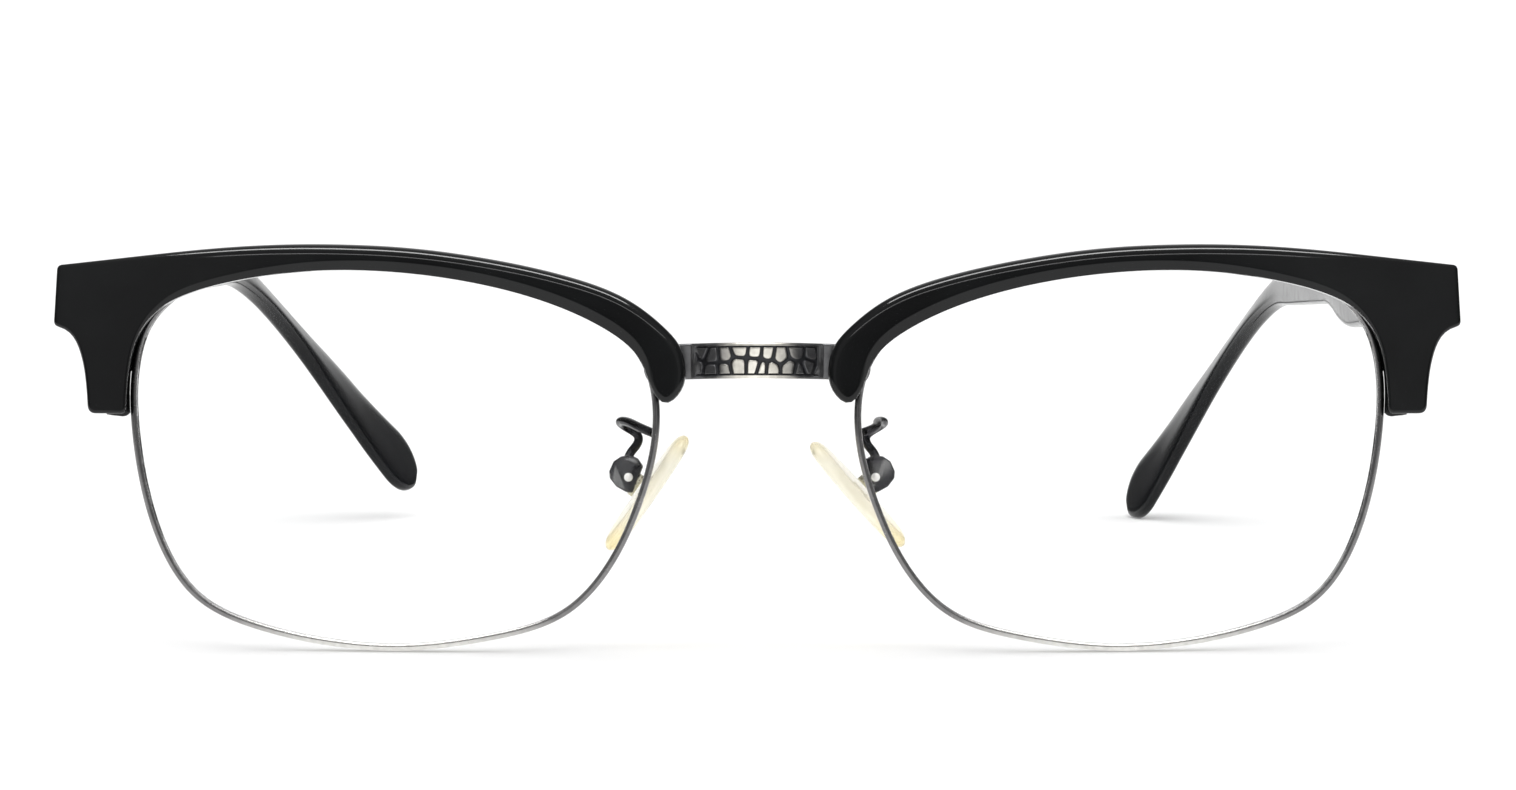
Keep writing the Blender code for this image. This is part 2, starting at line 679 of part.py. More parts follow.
def make_rim_lug(side_name, side, looks, root):
    """Tab soldered to the back of the rim, with the temporal brow screw."""
    centre = np.array(LUG_CENTRE)
    outwards = np.array([0.447, 0.894])
    across = np.array([outwards[1], -outwards[0]])
    outline = []
    for i in range(9):
        a = math.pi * i / 8
        outline.append(centre + (across * math.cos(a) + outwards * math.sin(a)) * LUG_RADIUS)
    outline.append(centre - across * LUG_RADIUS - outwards * LUG_FOOT)
    outline.append(centre + across * LUG_RADIUS - outwards * LUG_FOOT)
    front = RIM_BACK + GAP
    mesh = front_slab([(outline, front), (outline, front + LUG_THICK)], LUG_SPACING)
    lug = add_object("rim_lug_" + side_name, mesh, side, looks["gunmetal"], root)
    x, z = LUG_CENTRE
    radius = BROW_SCREW_RADIUS + BORE_GAP
    bore = turned([(radius, -PAST), (radius, 3 * PAST)],
                  axis_place(surface_point(x, z, front), (0, 1, 0)))
    cut(lug, bore, side, root, "cut_lug_" + side_name)
    seat = surface_point(x, z, front + LUG_THICK + LUG_SCREW_LIFT)
    make_brow_screw("lug_screw_" + side_name, seat, side, looks["steel"], root)


# ---------------------------------------------------------------- hinges

def hinge_bore():
    radius = HINGE_SCREW_RADIUS + BORE_GAP
    return turned([(radius, HINGE_BOTTOM - PAST), (radius, HINGE_TOP + PAST)],
                  Matrix.Translation((PIVOT.x, PIVOT.y, 0)), 14)


def barrel(low, high, grow=0.0):
    return turned([(HINGE_BARREL + grow, low), (HINGE_BARREL + grow, high)],
                  Matrix.Translation((PIVOT.x, PIVOT.y, 0)), 16)


def make_front_leaf(side_name, side, looks, root):
    """Leaf in the brow's pocket with the hinge's two outer barrels."""
    back = FRONT_LEAF_Y + LEAF_THICK
    low = (PIVOT.x - HINGE_BARREL * 0.8, FRONT_LEAF_Y, HINGE_BOTTOM)
    high = (FRONT_LEAF_END_X, back, HINGE_TOP)
    leaf = add_object("hinge_front_leaf_" + side_name, block(low, high), side, looks["gunmetal"], root)
    add_to(leaf, barrel(HINGE_BOTTOM, HINGE_TOP), side, root, "barrels_" + side_name)
    web = block((PIVOT.x - 0.6 * MM, FRONT_LEAF_Y + 0.3 * MM, HINGE_BOTTOM + 0.2 * MM),
                (PIVOT.x + 0.8 * MM, PIVOT.y, HINGE_TOP - 0.2 * MM))
    add_to(leaf, web, side, root, "web_" + side_name)
    room = block((PIVOT.x - 4 * MM, back, HINGE_MIDDLE[0] - HINGE_PLAY),
                 (PIVOT.x + 4 * MM, back + 6 * MM, HINGE_MIDDLE[1] + HINGE_PLAY))
    cut(leaf, room, side, root, "cut_knuckle_room_" + side_name)
    cut(leaf, hinge_bore(), side, root, "cut_front_bore_" + side_name)
    for number, x in enumerate(FRONT_RIVET_X):
        seat = Vector((x, back, FRONT_RIVET_Z))
        radius = RIVET_RADIUS + BORE_GAP
        hole = turned([(radius, -3 * PAST), (radius, PAST)], axis_place(seat, (0, 1, 0)))
        cut(leaf, hole, side, root, f"cut_front_leaf_{number}_{side_name}")
        pin = rivet(seat, (0, 1, 0), back - FRONT_RIVET_END_Y)
        add_object(f"hinge_front_rivet_{number + 1}_{side_name}", pin, side, looks["steel"], root)


def rivet(seat, direction, length):
    """Round-headed rivet: seat is on the leaf's face, direction points out of the head."""
    profile = [
        (RIVET_RADIUS, -length), (RIVET_RADIUS, HEAD_GAP), (RIVET_HEAD, HEAD_GAP),
        (RIVET_HEAD * 0.85, HEAD_GAP + RIVET_HEIGHT * 0.6), (RIVET_HEAD * 0.4, HEAD_GAP + RIVET_HEIGHT),
    ]
    return turned(profile, axis_place(seat, direction))


def make_hinge_screw(side_name, side, looks, root):
    profile = [
        (HINGE_SCREW_RADIUS, HINGE_BOTTOM + HEAD_GAP), (HINGE_SCREW_RADIUS, HINGE_TOP + HEAD_GAP),
        (HINGE_SCREW_HEAD, HINGE_TOP + HEAD_GAP), (HINGE_SCREW_HEAD, HINGE_TOP + HEAD_HEIGHT),
        (HINGE_SCREW_HEAD * 0.7, HINGE_TOP + HEAD_GAP + HEAD_HEIGHT),
    ]
    screw = add_object("hinge_screw_" + side_name, turned(profile, Matrix.Translation((PIVOT.x, PIVOT.y, 0))),
                       side, looks["steel"], root)
    top = Vector((PIVOT.x, PIVOT.y, HINGE_TOP + HEAD_GAP + HEAD_HEIGHT))
    cut_slot(screw, top, (0, 0, -1), side, root, HINGE_SCREW_HEAD)


# ---------------------------------------------------------------- temples

def temple_turn(side_name):
    """Splay and pitch of one temple about the hinge, for the +X side."""
    splay = Matrix.Rotation(-TEMPLE_SPLAY[side_name], 4, "Z")
    pitch = Matrix.Rotation(TEMPLE_PITCH[side_name], 4, "X")
    return Matrix.Translation(PIVOT) @ splay @ pitch @ Matrix.Translation(-PIVOT)


def temple_knots(s, knots):
    """Value at arc length s from (lengths in mm, values), rounded off near each knot."""
    around = s / MM + np.linspace(-1.0, 1.0, 5) * TEMPLE_BLEND
    return float(np.mean(np.interp(around, *knots)))


def temple_centre(s, side_name):
    """Centre line point of the temple at arc length s, and how far it has bent down there."""
    angle = max(0.0, min(TEMPLE_DROP, (s - TEMPLE_STRAIGHT) / TEMPLE_BEND_RADIUS))
    y = min(s, TEMPLE_STRAIGHT) + TEMPLE_BEND_RADIUS * math.sin(angle)
    z = -TEMPLE_BEND_RADIUS * (1 - math.cos(angle))
    beyond = max(0.0, s - TEMPLE_STRAIGHT - TEMPLE_BEND_RADIUS * TEMPLE_DROP)
    y += beyond * math.cos(TEMPLE_DROP)
    z -= beyond * math.sin(TEMPLE_DROP)
    z += temple_knots(s, TEMPLE_TOPS) * MM - temple_size(min(s, TEMPLE_STRAIGHT), side_name)[0]
    lean = -TEMPLE_LEAN[side_name] * max(0.0, s - TEMPLE_LEAN_START) ** 2
    point = Vector((TEMPLE_X + lean, TEMPLE_FRONT_Y + y, TEMPLE_Z + z))
    return point, angle


def temple_frame(s, side_name):
    """Centre point and the section's own sideways and upward directions at arc length s."""
    point, angle = temple_centre(s, side_name)
    ahead, _ = temple_centre(s + 0.5 * MM, side_name)
    behind, _ = temple_centre(s - 0.5 * MM, side_name)
    along = (ahead - behind).normalized()
    up = Vector((0, math.sin(angle), math.cos(angle)))
    side = along.cross(up).normalized()
    up = side.cross(along).normalized()
    twist = math.radians(temple_knots(s, TEMPLE_TWISTS))
    turn = Matrix.Rotation(-twist, 3, along)
    return point, turn @ side, turn @ up


def temple_size(s, side_name):
    """Half height and half thickness of the temple at arc length s."""
    heights = list(TEMPLE_HEIGHTS)
    heights[TEMPLE_FLARE_AT] = TEMPLE_FLARE[side_name]
    height = temple_knots(s, (TEMPLE_LENGTHS, heights)) * MM
    thick = temple_knots(s, (TEMPLE_LENGTHS, TEMPLE_THICKS)) * MM
    return height / 2, thick / 2


def temple_ring(s, half_height, half_thick, side_name, sides=TEMPLE_SIDES, square=0.62):
    """Rounded section, nearly flat on its two wide faces."""
    point, side, up = temple_frame(s, side_name)
    ring = []
    for i in range(sides):
        a = 2 * math.pi * (i + 0.5) / sides
        c, d = math.cos(a), math.sin(a)
        x = math.copysign(abs(c) ** square, c) * half_thick
        z = math.copysign(abs(d) ** square, d) * half_height
        ring.append(point + side * x + up * z)
    return ring


def temple_mesh(side_name):
    """Temple with its open bore: outer skin, front ring, bore wall and the bore's end."""
    mesh = Mesh()
    tip_half, _ = temple_size(TEMPLE_LENGTH, side_name)
    body_end = TEMPLE_LENGTH - tip_half * 0.9
    outer = []
    for i in range(TEMPLE_STATIONS + 1):
        s = body_end * i / TEMPLE_STATIONS
        outer.append(mesh.add_ring(temple_ring(s, *temple_size(s, side_name), side_name)))
    for i in range(1, TEMPLE_TIP_STATIONS + 1):
        f = i / (TEMPLE_TIP_STATIONS + 0.35)
        s = body_end + (TEMPLE_LENGTH - body_end) * f
        round_off = math.sqrt(1 - f * f)
        high, thick = temple_size(s, side_name)
        section = temple_ring(s, high * round_off, thick * (0.35 + 0.65 * round_off), side_name)
        outer.append(mesh.add_ring(section))
    for a, b in zip(outer, outer[1:]):
        mesh.join_rings(a, b)
    mesh.faces.append(tuple(reversed(outer[-1])))
    bore = []
    bore_half = (CORE_HALF[1] + CORE_GAP, CORE_HALF[0] + CORE_GAP)
    bore_end = CORE_END + 0.5 * MM
    steps = 16
    for i in range(steps + 1):
        section = temple_ring(bore_end * i / steps, *bore_half, side_name, square=0.5)
        bore.append(mesh.add_ring(section))
    mesh.join_rings(bore[0], outer[0])
    for a, b in zip(bore, bore[1:]):
        mesh.join_rings(b, a)
    mesh.faces.append(tuple(bore[-1]))
    return mesh


def turn_mesh(mesh, matrix):
    mesh.verts = [tuple(matrix @ Vector(v)) for v in mesh.verts]
    return mesh


def make_temple(side_name, side, looks, root):
    turn = temple_turn(side_name)
    pivot = add_empty("temple_pivot_" + side_name, side_vector(PIVOT, side), root)
    shift = Matrix.Translation(-PIVOT)
    temple = add_object("temple_" + side_name, turn_mesh(temple_mesh(side_name), shift @ turn), side,
                        looks["black_temple"], pivot)
    core_sections = []
    steps = 16
    for i in range(steps + 1):
        s = 0.4 * MM + (CORE_END - 0.4 * MM) * i / steps
        core_sections.append(temple_ring(s, CORE_HALF[1], CORE_HALF[0], side_name, 6, 0.8))
    add_object("temple_core_" + side_name, turn_mesh(loft(core_sections), shift @ turn), side,
               looks["steel"], pivot)
    make_temple_leaf(side_name, side, looks, pivot, temple, turn)


def make_temple_leaf(side_name, side, looks, pivot, temple, turn):
    """Leaf on the temple's inner face with the middle barrel, and its rivets."""
    shift = Matrix.Translation(-PIVOT)
    _, thick = temple_size(15 * MM, side_name)
    outer_x = TEMPLE_X - thick - GAP
    inner_x = outer_x - LEAF_THICK
    plate = block((inner_x, TEMPLE_LEAF_Y[0], TEMPLE_LEAF_Z[0]),
                  (outer_x, TEMPLE_LEAF_Y[1], TEMPLE_LEAF_Z[1]))
    leaf = add_object("hinge_temple_leaf_" + side_name, turn_mesh(plate, shift @ turn), side,
                      looks["gunmetal"], pivot)
    knuckle = turn_mesh(barrel(*HINGE_MIDDLE), shift)
    add_to(leaf, knuckle, side, pivot, "temple_barrel_" + side_name)
    arm = block((inner_x, PIVOT.y - 0.3 * MM, HINGE_MIDDLE[0] + 0.1 * MM),
                (outer_x - 0.05 * MM, TEMPLE_LEAF_Y[0] + 2 * MM, HINGE_MIDDLE[1] - 0.1 * MM))
    add_to(leaf, turn_mesh(arm, shift), side, pivot, "temple_arm_" + side_name)
    cut(leaf, turn_mesh(hinge_bore(), shift), side, pivot, "cut_temple_bore_" + side_name)
    for number, y in enumerate(TEMPLE_RIVET_Y):
        place = axis_place(Vector((inner_x, y, TEMPLE_RIVET_Z)), (-1, 0, 0))
        radius = RIVET_RADIUS + BORE_GAP
        hole = turned([(radius, -(LEAF_THICK + GAP + 0.9 * MM)), (radius, PAST)], place)
        turn_mesh(hole, shift @ turn)
        cut(leaf, hole, side, pivot, f"cut_temple_leaf_{number}_{side_name}")
        cut(temple, hole, side, pivot, f"cut_temple_rivet_{number}_{side_name}")
        pin = rivet(Vector((inner_x, y, TEMPLE_RIVET_Z)), (-1, 0, 0), LEAF_THICK + GAP + 0.6 * MM)
        add_object(f"hinge_temple_rivet_{number + 1}_{side_name}", turn_mesh(pin, shift @ turn), side,
                   looks["steel"], pivot)


# ---------------------------------------------------------------- nose pads

def make_pad_arm(side_name, side, looks, root):
    """Round wire swept along its bent path."""
    points = np.array(ARM_PATH) * MM
    points[2:, 0] += PAD_PIVOT[side_name].x - PAD_PIVOT["right"].x
    path = smooth_curve(points, count=22)
    sections = []
    across = Vector((0, 0, 1))
    for i, point in enumerate(path):
        ahead = Vector(path[min(i + 1, len(path) - 1)]) - Vector(path[max(i - 1, 0)])
        ahead.normalize()
        across = (across - ahead * across.dot(ahead)).normalized()
        other = ahead.cross(across)
        ring = []
        for k in range(8):
            a = 2 * math.pi * k / 8
            ring.append(Vector(point) + (across * math.cos(a) + other * math.sin(a)) * ARM_RADIUS)
        sections.append(ring)
    add_object("pad_arm_" + side_name, loft(sections), side, looks["gunmetal"], root)


def make_pad_box(side_name, side, looks, root):
    """Socket with a slot for the pad's stem and a cross hole for its screw."""
    pivot = PAD_PIVOT[side_name]
    half = BOX_DEPTH / 2
    sections = [[pivot + Vector((x * MM, y, z * MM)) for x, z in BOX_OUTLINE] for y in (-half, half)]
    box = add_object("pad_box_" + side_name, loft(sections), side, looks["gunmetal"], root)
    low, high = STEM_SLOT
    slot = block(Vector(low) * MM, Vector(high) * MM, Matrix.Translation(pivot))
    cut(box, slot, side, root, "cut_stem_slot_" + side_name)
    radius = PAD_SCREW_RADIUS + PAD_BORE_GAP
    bore = turned([(radius, -3 * PAST), (radius, 3 * PAST)], axis_place(pivot, (0, 1, 0)))
    cut(box, bore, side, root, "cut_pad_bore_" + side_name)
    reach = half + HEAD_GAP
    profile = [
        (PAD_SCREW_RADIUS, -reach), (PAD_SCREW_RADIUS, reach),
        (PAD_SCREW_HEAD, reach), (PAD_SCREW_HEAD, reach + PAD_SCREW_HEAD_HEIGHT),
    ]
    screw = add_object("pad_screw_" + side_name, turned(profile, axis_place(pivot, (0, 1, 0))), side,
                       looks["steel"], root)
    top = pivot + Vector((0, reach + PAD_SCREW_HEAD_HEIGHT, 0))
    cut_slot(screw, top, (0, -1, 0), side, root, PAD_SCREW_HEAD)


def pad_place(side_name):
    """Pad frame: x out of the bearing face, y across, z along the pad."""
    lean = Matrix.Rotation(PAD_ANGLE[side_name], 4, "Y")
    splay = Matrix.Rotation(-PAD_SPLAY, 4, "Z")
    turn = Matrix.Rotation(math.pi, 4, "Z")
    return Matrix.Translation(PAD_CENTRE[side_name]) @ lean.inverted() @ splay @ turn


def pad_outline(shrink, points=24):
    """Rounded D outline: wider below than above."""
    outline = []
    for i in range(points):
        a = 2 * math.pi * i / points
        across = math.copysign(abs(math.cos(a)) ** 0.85, math.cos(a)) * (PAD_WIDTH / 2 - shrink)
        along = math.sin(a) * (PAD_LENGTH / 2 - shrink)
        across *= 1 - 0.12 * math.sin(a)
        outline.append((across, along))
    return outline


def make_nose_pad(side_name, side, looks, root):
    pivot = add_empty("pad_pivot_" + side_name, side_vector(PAD_PIVOT[side_name], side), root)
    place = Matrix.Translation(-PAD_PIVOT[side_name]) @ pad_place(side_name)
    half = PAD_THICK / 2
    sections = []
    for shrink, x in ((1.3, -half), (0.35, -half * 0.5), (0.0, 0.0), (0.35, half * 0.6), (1.2, half)):
        sections.append([place @ Vector((x, y, z)) for y, z in pad_outline(shrink * MM)])
    add_object("nose_pad_" + side_name, loft(sections), side, looks["pad"], pivot)
    make_pad_stem(side_name, side, looks, pivot, place)


def make_pad_stem(side_name, side, looks, pivot, place):
    """Tab with an eye round the pad screw and a foot against the pad's back."""
    foot_x = -PAD_THICK / 2 - GAP
    thick, wide, high = STEM_FOOT
    foot = block((foot_x - thick, -wide, -high), (foot_x, wide, high), place)
    stem = add_object("pad_stem_" + side_name, foot, side, looks["pad_metal"], pivot)
    foot_centre = place @ Vector((foot_x - thick / 2, 0, 0))
    reach = foot_centre.copy()
    reach.y = 0
    wide, high = STEM_NECK
    neck = block((0, -wide, -high), (reach.length, wide, high), axis_place_x(reach))
    add_to(stem, neck, side, pivot, "stem_neck_" + side_name)
    radius, half = STEM_EYE
    eye = turned([(radius, -half), (radius, half)], axis_place((0, 0, 0), (0, 1, 0)), 14)
    add_to(stem, eye, side, pivot, "stem_eye_" + side_name)
    radius = PAD_SCREW_RADIUS + PAD_BORE_GAP
    bore = turned([(radius, -2 * PAST), (radius, 2 * PAST)], axis_place((0, 0, 0), (0, 1, 0)))
    cut(stem, bore, side, pivot, "cut_stem_eye_" + side_name)


def axis_place_x(direction):
    """Matrix whose x axis points along a direction that has no y part."""
    angle = math.atan2(-direction[2], direction[0])
    return Matrix.Rotation(angle, 4, "Y")


# ---------------------------------------------------------------- whole object

def main():
    clear_scene()
    looks = {
        "black": material("black_acetate", (0.012, 0.013, 0.015), 0.18, 0.0),
        "black_temple": material("black_temple_acetate", (0.012, 0.013, 0.016), 0.16, 0.0),
        "gunmetal": material("gunmetal", (0.1, 0.1, 0.105), 0.3, 1.0),
        "steel": material("bright_steel", (0.6, 0.6, 0.6), 0.25, 1.0),
        "lens": material("clear_lens", (0.97, 0.98, 0.98), 0.03, 0.0, 0.12),
        "pad": material("yellowish_pad", (0.93, 0.88, 0.66), 0.3, 0.0, 0.6),
        "pad_metal": material("pad_insert", (0.7, 0.66, 0.5), 0.3, 0.6),
    }
    root = add_empty("glasses", STAND_OFFSET)
    root.rotation_euler = (-LEAN_BACK, 0, 0)
    for side_name, side in SIDES.items():
        make_brow(side_name, side, looks["black"], root)
        make_rim(side_name, side, looks["gunmetal"], root)
        make_lens(side_name, side, looks["lens"], root)
        make_closing_block(side_name, side, looks, root)
        make_rim_lug(side_name, side, looks, root)
        make_front_leaf(side_name, side, looks, root)
        make_hinge_screw(side_name, side, looks, root)
        make_temple(side_name, side, looks, root)
        make_pad_arm(side_name, side, looks, root)
        make_pad_box(side_name, side, looks, root)
        make_nose_pad(side_name, side, looks, root)
    make_bridge(looks, root)


main()
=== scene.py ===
"""Looks for the half rim (browline) eyeglasses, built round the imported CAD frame.

Detailed pieces are made in the front's own frame (x to the side, y backwards, z up), for the +X side,
then mirrored if needed and stood up with the same lean as the CAD model.
"""
import json
import math

import bmesh
import bpy
import numpy as np
from mathutils import Matrix, Vector
from mathutils.geometry import delaunay_2d_cdt

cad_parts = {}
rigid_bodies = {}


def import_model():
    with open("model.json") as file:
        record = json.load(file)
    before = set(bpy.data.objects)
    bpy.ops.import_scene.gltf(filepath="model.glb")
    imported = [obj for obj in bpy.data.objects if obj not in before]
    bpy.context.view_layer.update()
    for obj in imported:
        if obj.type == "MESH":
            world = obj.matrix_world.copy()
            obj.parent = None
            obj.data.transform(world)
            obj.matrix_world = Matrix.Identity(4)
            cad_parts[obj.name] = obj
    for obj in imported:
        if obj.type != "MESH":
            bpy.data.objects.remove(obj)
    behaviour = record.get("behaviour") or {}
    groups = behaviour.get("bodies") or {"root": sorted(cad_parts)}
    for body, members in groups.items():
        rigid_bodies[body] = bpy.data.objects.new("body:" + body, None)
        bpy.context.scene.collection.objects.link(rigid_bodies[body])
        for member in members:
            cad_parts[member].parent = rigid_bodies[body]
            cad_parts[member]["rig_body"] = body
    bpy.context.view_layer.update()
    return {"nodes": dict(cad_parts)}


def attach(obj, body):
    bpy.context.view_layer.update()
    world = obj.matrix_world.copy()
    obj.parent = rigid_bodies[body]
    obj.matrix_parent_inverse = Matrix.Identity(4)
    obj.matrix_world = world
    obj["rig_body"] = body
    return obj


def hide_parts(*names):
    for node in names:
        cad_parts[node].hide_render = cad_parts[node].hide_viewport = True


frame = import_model()

MM = 0.001
SIDES = {"left": 1, "right": -1}

# How the glasses stand, as in the CAD model
LEAN_BACK = math.radians(4.1)
STAND_OFFSET = Vector((0.0, -70.66, 25.66)) * MM
STAND = Matrix.Translation(STAND_OFFSET) @ Matrix.Rotation(-LEAN_BACK, 4, "X")

# Camera, in the front's frame
CAMERA_AT = Vector((3.5, -480.0, 0.0)) * MM
CAMERA_LENS = 114.3
CAMERA_SHIFT_X = -0.0225

# Curved front
EYE_X = 36.5 * MM
EYE_Z = -6.0 * MM
BASE_RADIUS = 130.0 * MM
FACE_FORM = math.tan(math.radians(4.0))
GAP = 0.3 * MM

# Rims and lenses
RIM_WALL = 0.7 * MM
RIM_FRONT = -1.05 * MM
RIM_BACK = 0.9 * MM
RIM_GROOVE = 0.35 * MM
RIM_STATIONS = 260
RIM_ROUND = 0.1 * MM
LENS_EDGE_INSET = 0.5 * MM
LENS_HALF = 0.85 * MM
RIM_POINTS = [
    (63.05, 0.3), (62.95, -2.5), (62.1, -8.5), (60.3, -14.55), (56.4, -20.4), (50.0, -23.5),
    (42.5, -25.1), (35.6, -25.55), (26.6, -24.5), (18.9, -21.9), (14.6, -17.4), (11.7, -11.5),
    (10.0, -5.5), (9.75, -1.0), (10.7, 3.0), (13.3, 6.5), (17.8, 9.3), (24.5, 11.7), (32.5, 13.3),
    (40.5, 13.95), (48.5, 13.5), (54.6, 12.3), (59.0, 10.1), (61.7, 7.0), (62.75, 3.7),
]
BLOCK_X = (63.35 * MM, 65.9 * MM)
BLOCK_SPLIT_Z = 0.2 * MM
BLOCK_SPLIT = -0.02 * MM
BLOCK_TOP = 2.1 * MM
BLOCK_BOTTOM = -1.5 * MM

# Brow pieces: each top point also has the width and depth of the rounded front edge, in mm
BROW_FRONT = -3.2 * MM
BROW_BACK = 0.9 * MM
BROW_PLATE_BACK = RIM_FRONT - GAP
BROW_TOP = [
    (70.6, 13.1, 0.35, 0.35), (63.1, 13.85, 0.6, 0.5), (54.8, 14.65, 1.0, 0.8), (46.7, 15.05, 1.15, 1.0),
    (40.6, 15.0, 1.15, 1.1), (34.6, 14.65, 1.15, 1.1), (26.6, 13.55, 1.15, 1.1), (18.6, 11.75, 1.15, 1.1),
    (12.7, 9.4, 1.1, 1.0), (9.2, 6.7, 1.0, 0.9), (7.6, 4.7, 0.9, 0.8), (7.1, 2.6, 0.8, 0.7),
    (7.5, 0.5, 0.7, 0.6), (9.15, -0.8, 0.6, 0.5), (10.3, 0.3, 0.6, 0.45), (11.1, 2.5, 0.8, 0.4),
    (12.6, 4.7, 1.1, 0.45), (14.7, 6.3, 1.2, 0.5), (20.5, 9.05, 1.25, 0.5), (28.5, 11.2, 1.25, 0.5),
    (36.5, 12.25, 1.2, 0.48), (44.5, 12.35, 1.1, 0.4), (52.6, 11.3, 0.9, 0.3), (57.0, 10.1, 0.8, 0.3),
    (60.0, 8.5, 0.5, 0.3), (62.1, 5.7, 0.35, 0.3), (62.9, 2.6, 0.3, 0.3), (63.2, -1.85, 0.3, 0.3),
]
BROW_LEG_OUTER = [
    (67.15, -1.85), (67.4, 1.3), (67.9, 3.9), (69.3, 6.35), (70.85, 7.05),
]
LEG_EDGE = 0.35
CORNER_RADII = {0: 0.6 * MM, 1: 0.6 * MM, 2: 0.9 * MM, 3: 0.6 * MM}
BROW_STEP = 0.6 * MM
LEDGE = 0.3 * MM
SEAT_FIT = 0.03 * MM
BEVEL_STEPS = 7
BROW_SPACING = 1.6 * MM
CUTTER_SPACING = 3.0 * MM
LENS_SPACING = 2.5 * MM
CUT_THROUGH = 5.0 * MM

# Bridge
BRIDGE_MID_Z = 3.3 * MM
BRIDGE_HALF_HEIGHT = 1.8 * MM
BRIDGE_RISE = 0.15 * MM
BRIDGE_THICK = 1.3 * MM
BRIDGE_END_X = 6.6 * MM
BRIDGE_END_Y = 2.95 * MM
BRIDGE_BOW = 3.6 * MM
BRIDGE_PAD_X = 9.4 * MM
BRIDGE_PAD_RADIUS = 2.0 * MM
RELIEF_DEPTH = 0.22 * MM
RELIEF_BORDER = 0.3 * MM
RELIEF_CELL = 1.3 * MM
RELIEF_CHANNEL = 0.16 * MM
RELIEF_ROUND = 0.11 * MM
BRIDGE_TILT = 0.13
BRIDGE_COLUMNS = 260
BRIDGE_ROWS = 48
BRIDGE_EDGE = 0.22 * MM
BRIDGE_BEVEL = 0.1 * MM
BRIDGE_PAD_BEVEL = 0.12 * MM
BRIDGE_PAD_DROP = 0.6 * MM

# Hinge
PIVOT = Vector((62.3, 9.7, 9.6)) * MM
HINGE_BOTTOM = 7.6 * MM
HINGE_TOP = 12.4 * MM
FRONT_LEAF_Y = 7.0 * MM
FRONT_LEAF_END_X = 68.6 * MM

# Temples, as in the CAD model, but with the last two heights a little less, so that the rounder visual
# tip stays inside the CAD box
TEMPLE_FRONT_Y = 8.8 * MM
TEMPLE_X = 65.2 * MM
TEMPLE_Z = 10.1 * MM
TEMPLE_LENGTH = 143.1 * MM
TEMPLE_STRAIGHT = 86.8 * MM
TEMPLE_BEND_RADIUS = 49.4 * MM
TEMPLE_DROP = math.radians(52.0)
TEMPLE_LEAN_START = 87.1 * MM
TEMPLE_LEAN = {"left": 4.6, "right": 6.0}
TEMPLE_TOPS = ([0.0, 51.6], [2.7, 3.6])
TEMPLE_TWISTS = ([75.0, 107.6, 143.1], [0.0, -27.8, 1.8])
TEMPLE_SPLAY = {"left": math.radians(-1.65), "right": math.radians(-0.5)}
TEMPLE_PITCH = {"left": math.radians(0.75), "right": math.radians(2.35)}
TEMPLE_FLARE = {"left": 6.6, "right": 4.9}
TEMPLE_FLARE_AT = 2
TEMPLE_LENGTHS = [0.0, 12.0, 33.6, 45.6, 84.6, 104.6, 117.6, 129.6, 143.1]
TEMPLE_HEIGHTS = [5.4, 5.8, 6.0, 4.15, 4.15, 3.75, 4.3, 9.0, 10.1]
TEMPLE_THICKS = [3.2, 3.2, 3.0, 2.6, 2.2, 2.2, 2.2, 2.15, 1.95]
TEMPLE_BLEND = 4.0
TEMPLE_STATIONS = 120
TEMPLE_TIP_STATIONS = 12
TEMPLE_SIDES = 32
CORE_END = 128.0 * MM
CORE_HALF = (0.3 * MM, 0.7 * MM)
CORE_GAP = 0.2 * MM
CORE_START = 0.4 * MM
CORE_STATIONS = 60
BORE_STATIONS = 40

# Nose pads
PAD_PIVOT = {"right": Vector((13.05, 7.6, -8.3)) * MM, "left": Vector((11.95, 7.6, -8.3)) * MM}
PAD_ANGLE = {"right": math.radians(35.0), "left": math.radians(42.0)}
PAD_CENTRE = {"right": Vector((11.2, 7.8, -9.9)) * MM, "left": Vector((10.15, 7.8, -10.05)) * MM}
PAD_SPLAY = math.radians(6.0)
PAD_LENGTH = 14.0 * MM
PAD_WIDTH = 8.0 * MM
PAD_THICK = 1.6 * MM
ARM_RADIUS = 0.45 * MM
ARM_PATH = [
    (10.45, 1.75, -3.8), (11.9, 3.1, -3.2), (13.3, 5.2, -2.65), (13.9, 7.1, -2.8), (13.1, 8.3, -3.4),
    (12.1, 8.3, -4.3), (12.3, 8.0, -5.1), (12.8, 7.7, -5.75), (13.1, 7.6, -6.3),
]
BOX_DEPTH = 2.6 * MM
BOX_OUTLINE = [
    (0.75, 2.1), (-0.3, 2.2), (-0.95, 1.85), (-1.45, 1.1), (-0.4, -1.6), (0.25, -1.5),
    (1.25, -0.95), (1.9, -0.1), (1.95, 0.6), (1.5, 1.6),
]
STEM_SLOT = ((-3.0, -0.62, -3.0), (0.95, 0.62, 1.05))
BOX_CORNER = 0.22 * MM
BOX_ENDS = ((0.2, 1.0), (0.1, 0.97), (0.03, 0.9), (0.0, 0.8))
PAD_LEVELS = 15
PAD_ROUND = 1.9 * MM

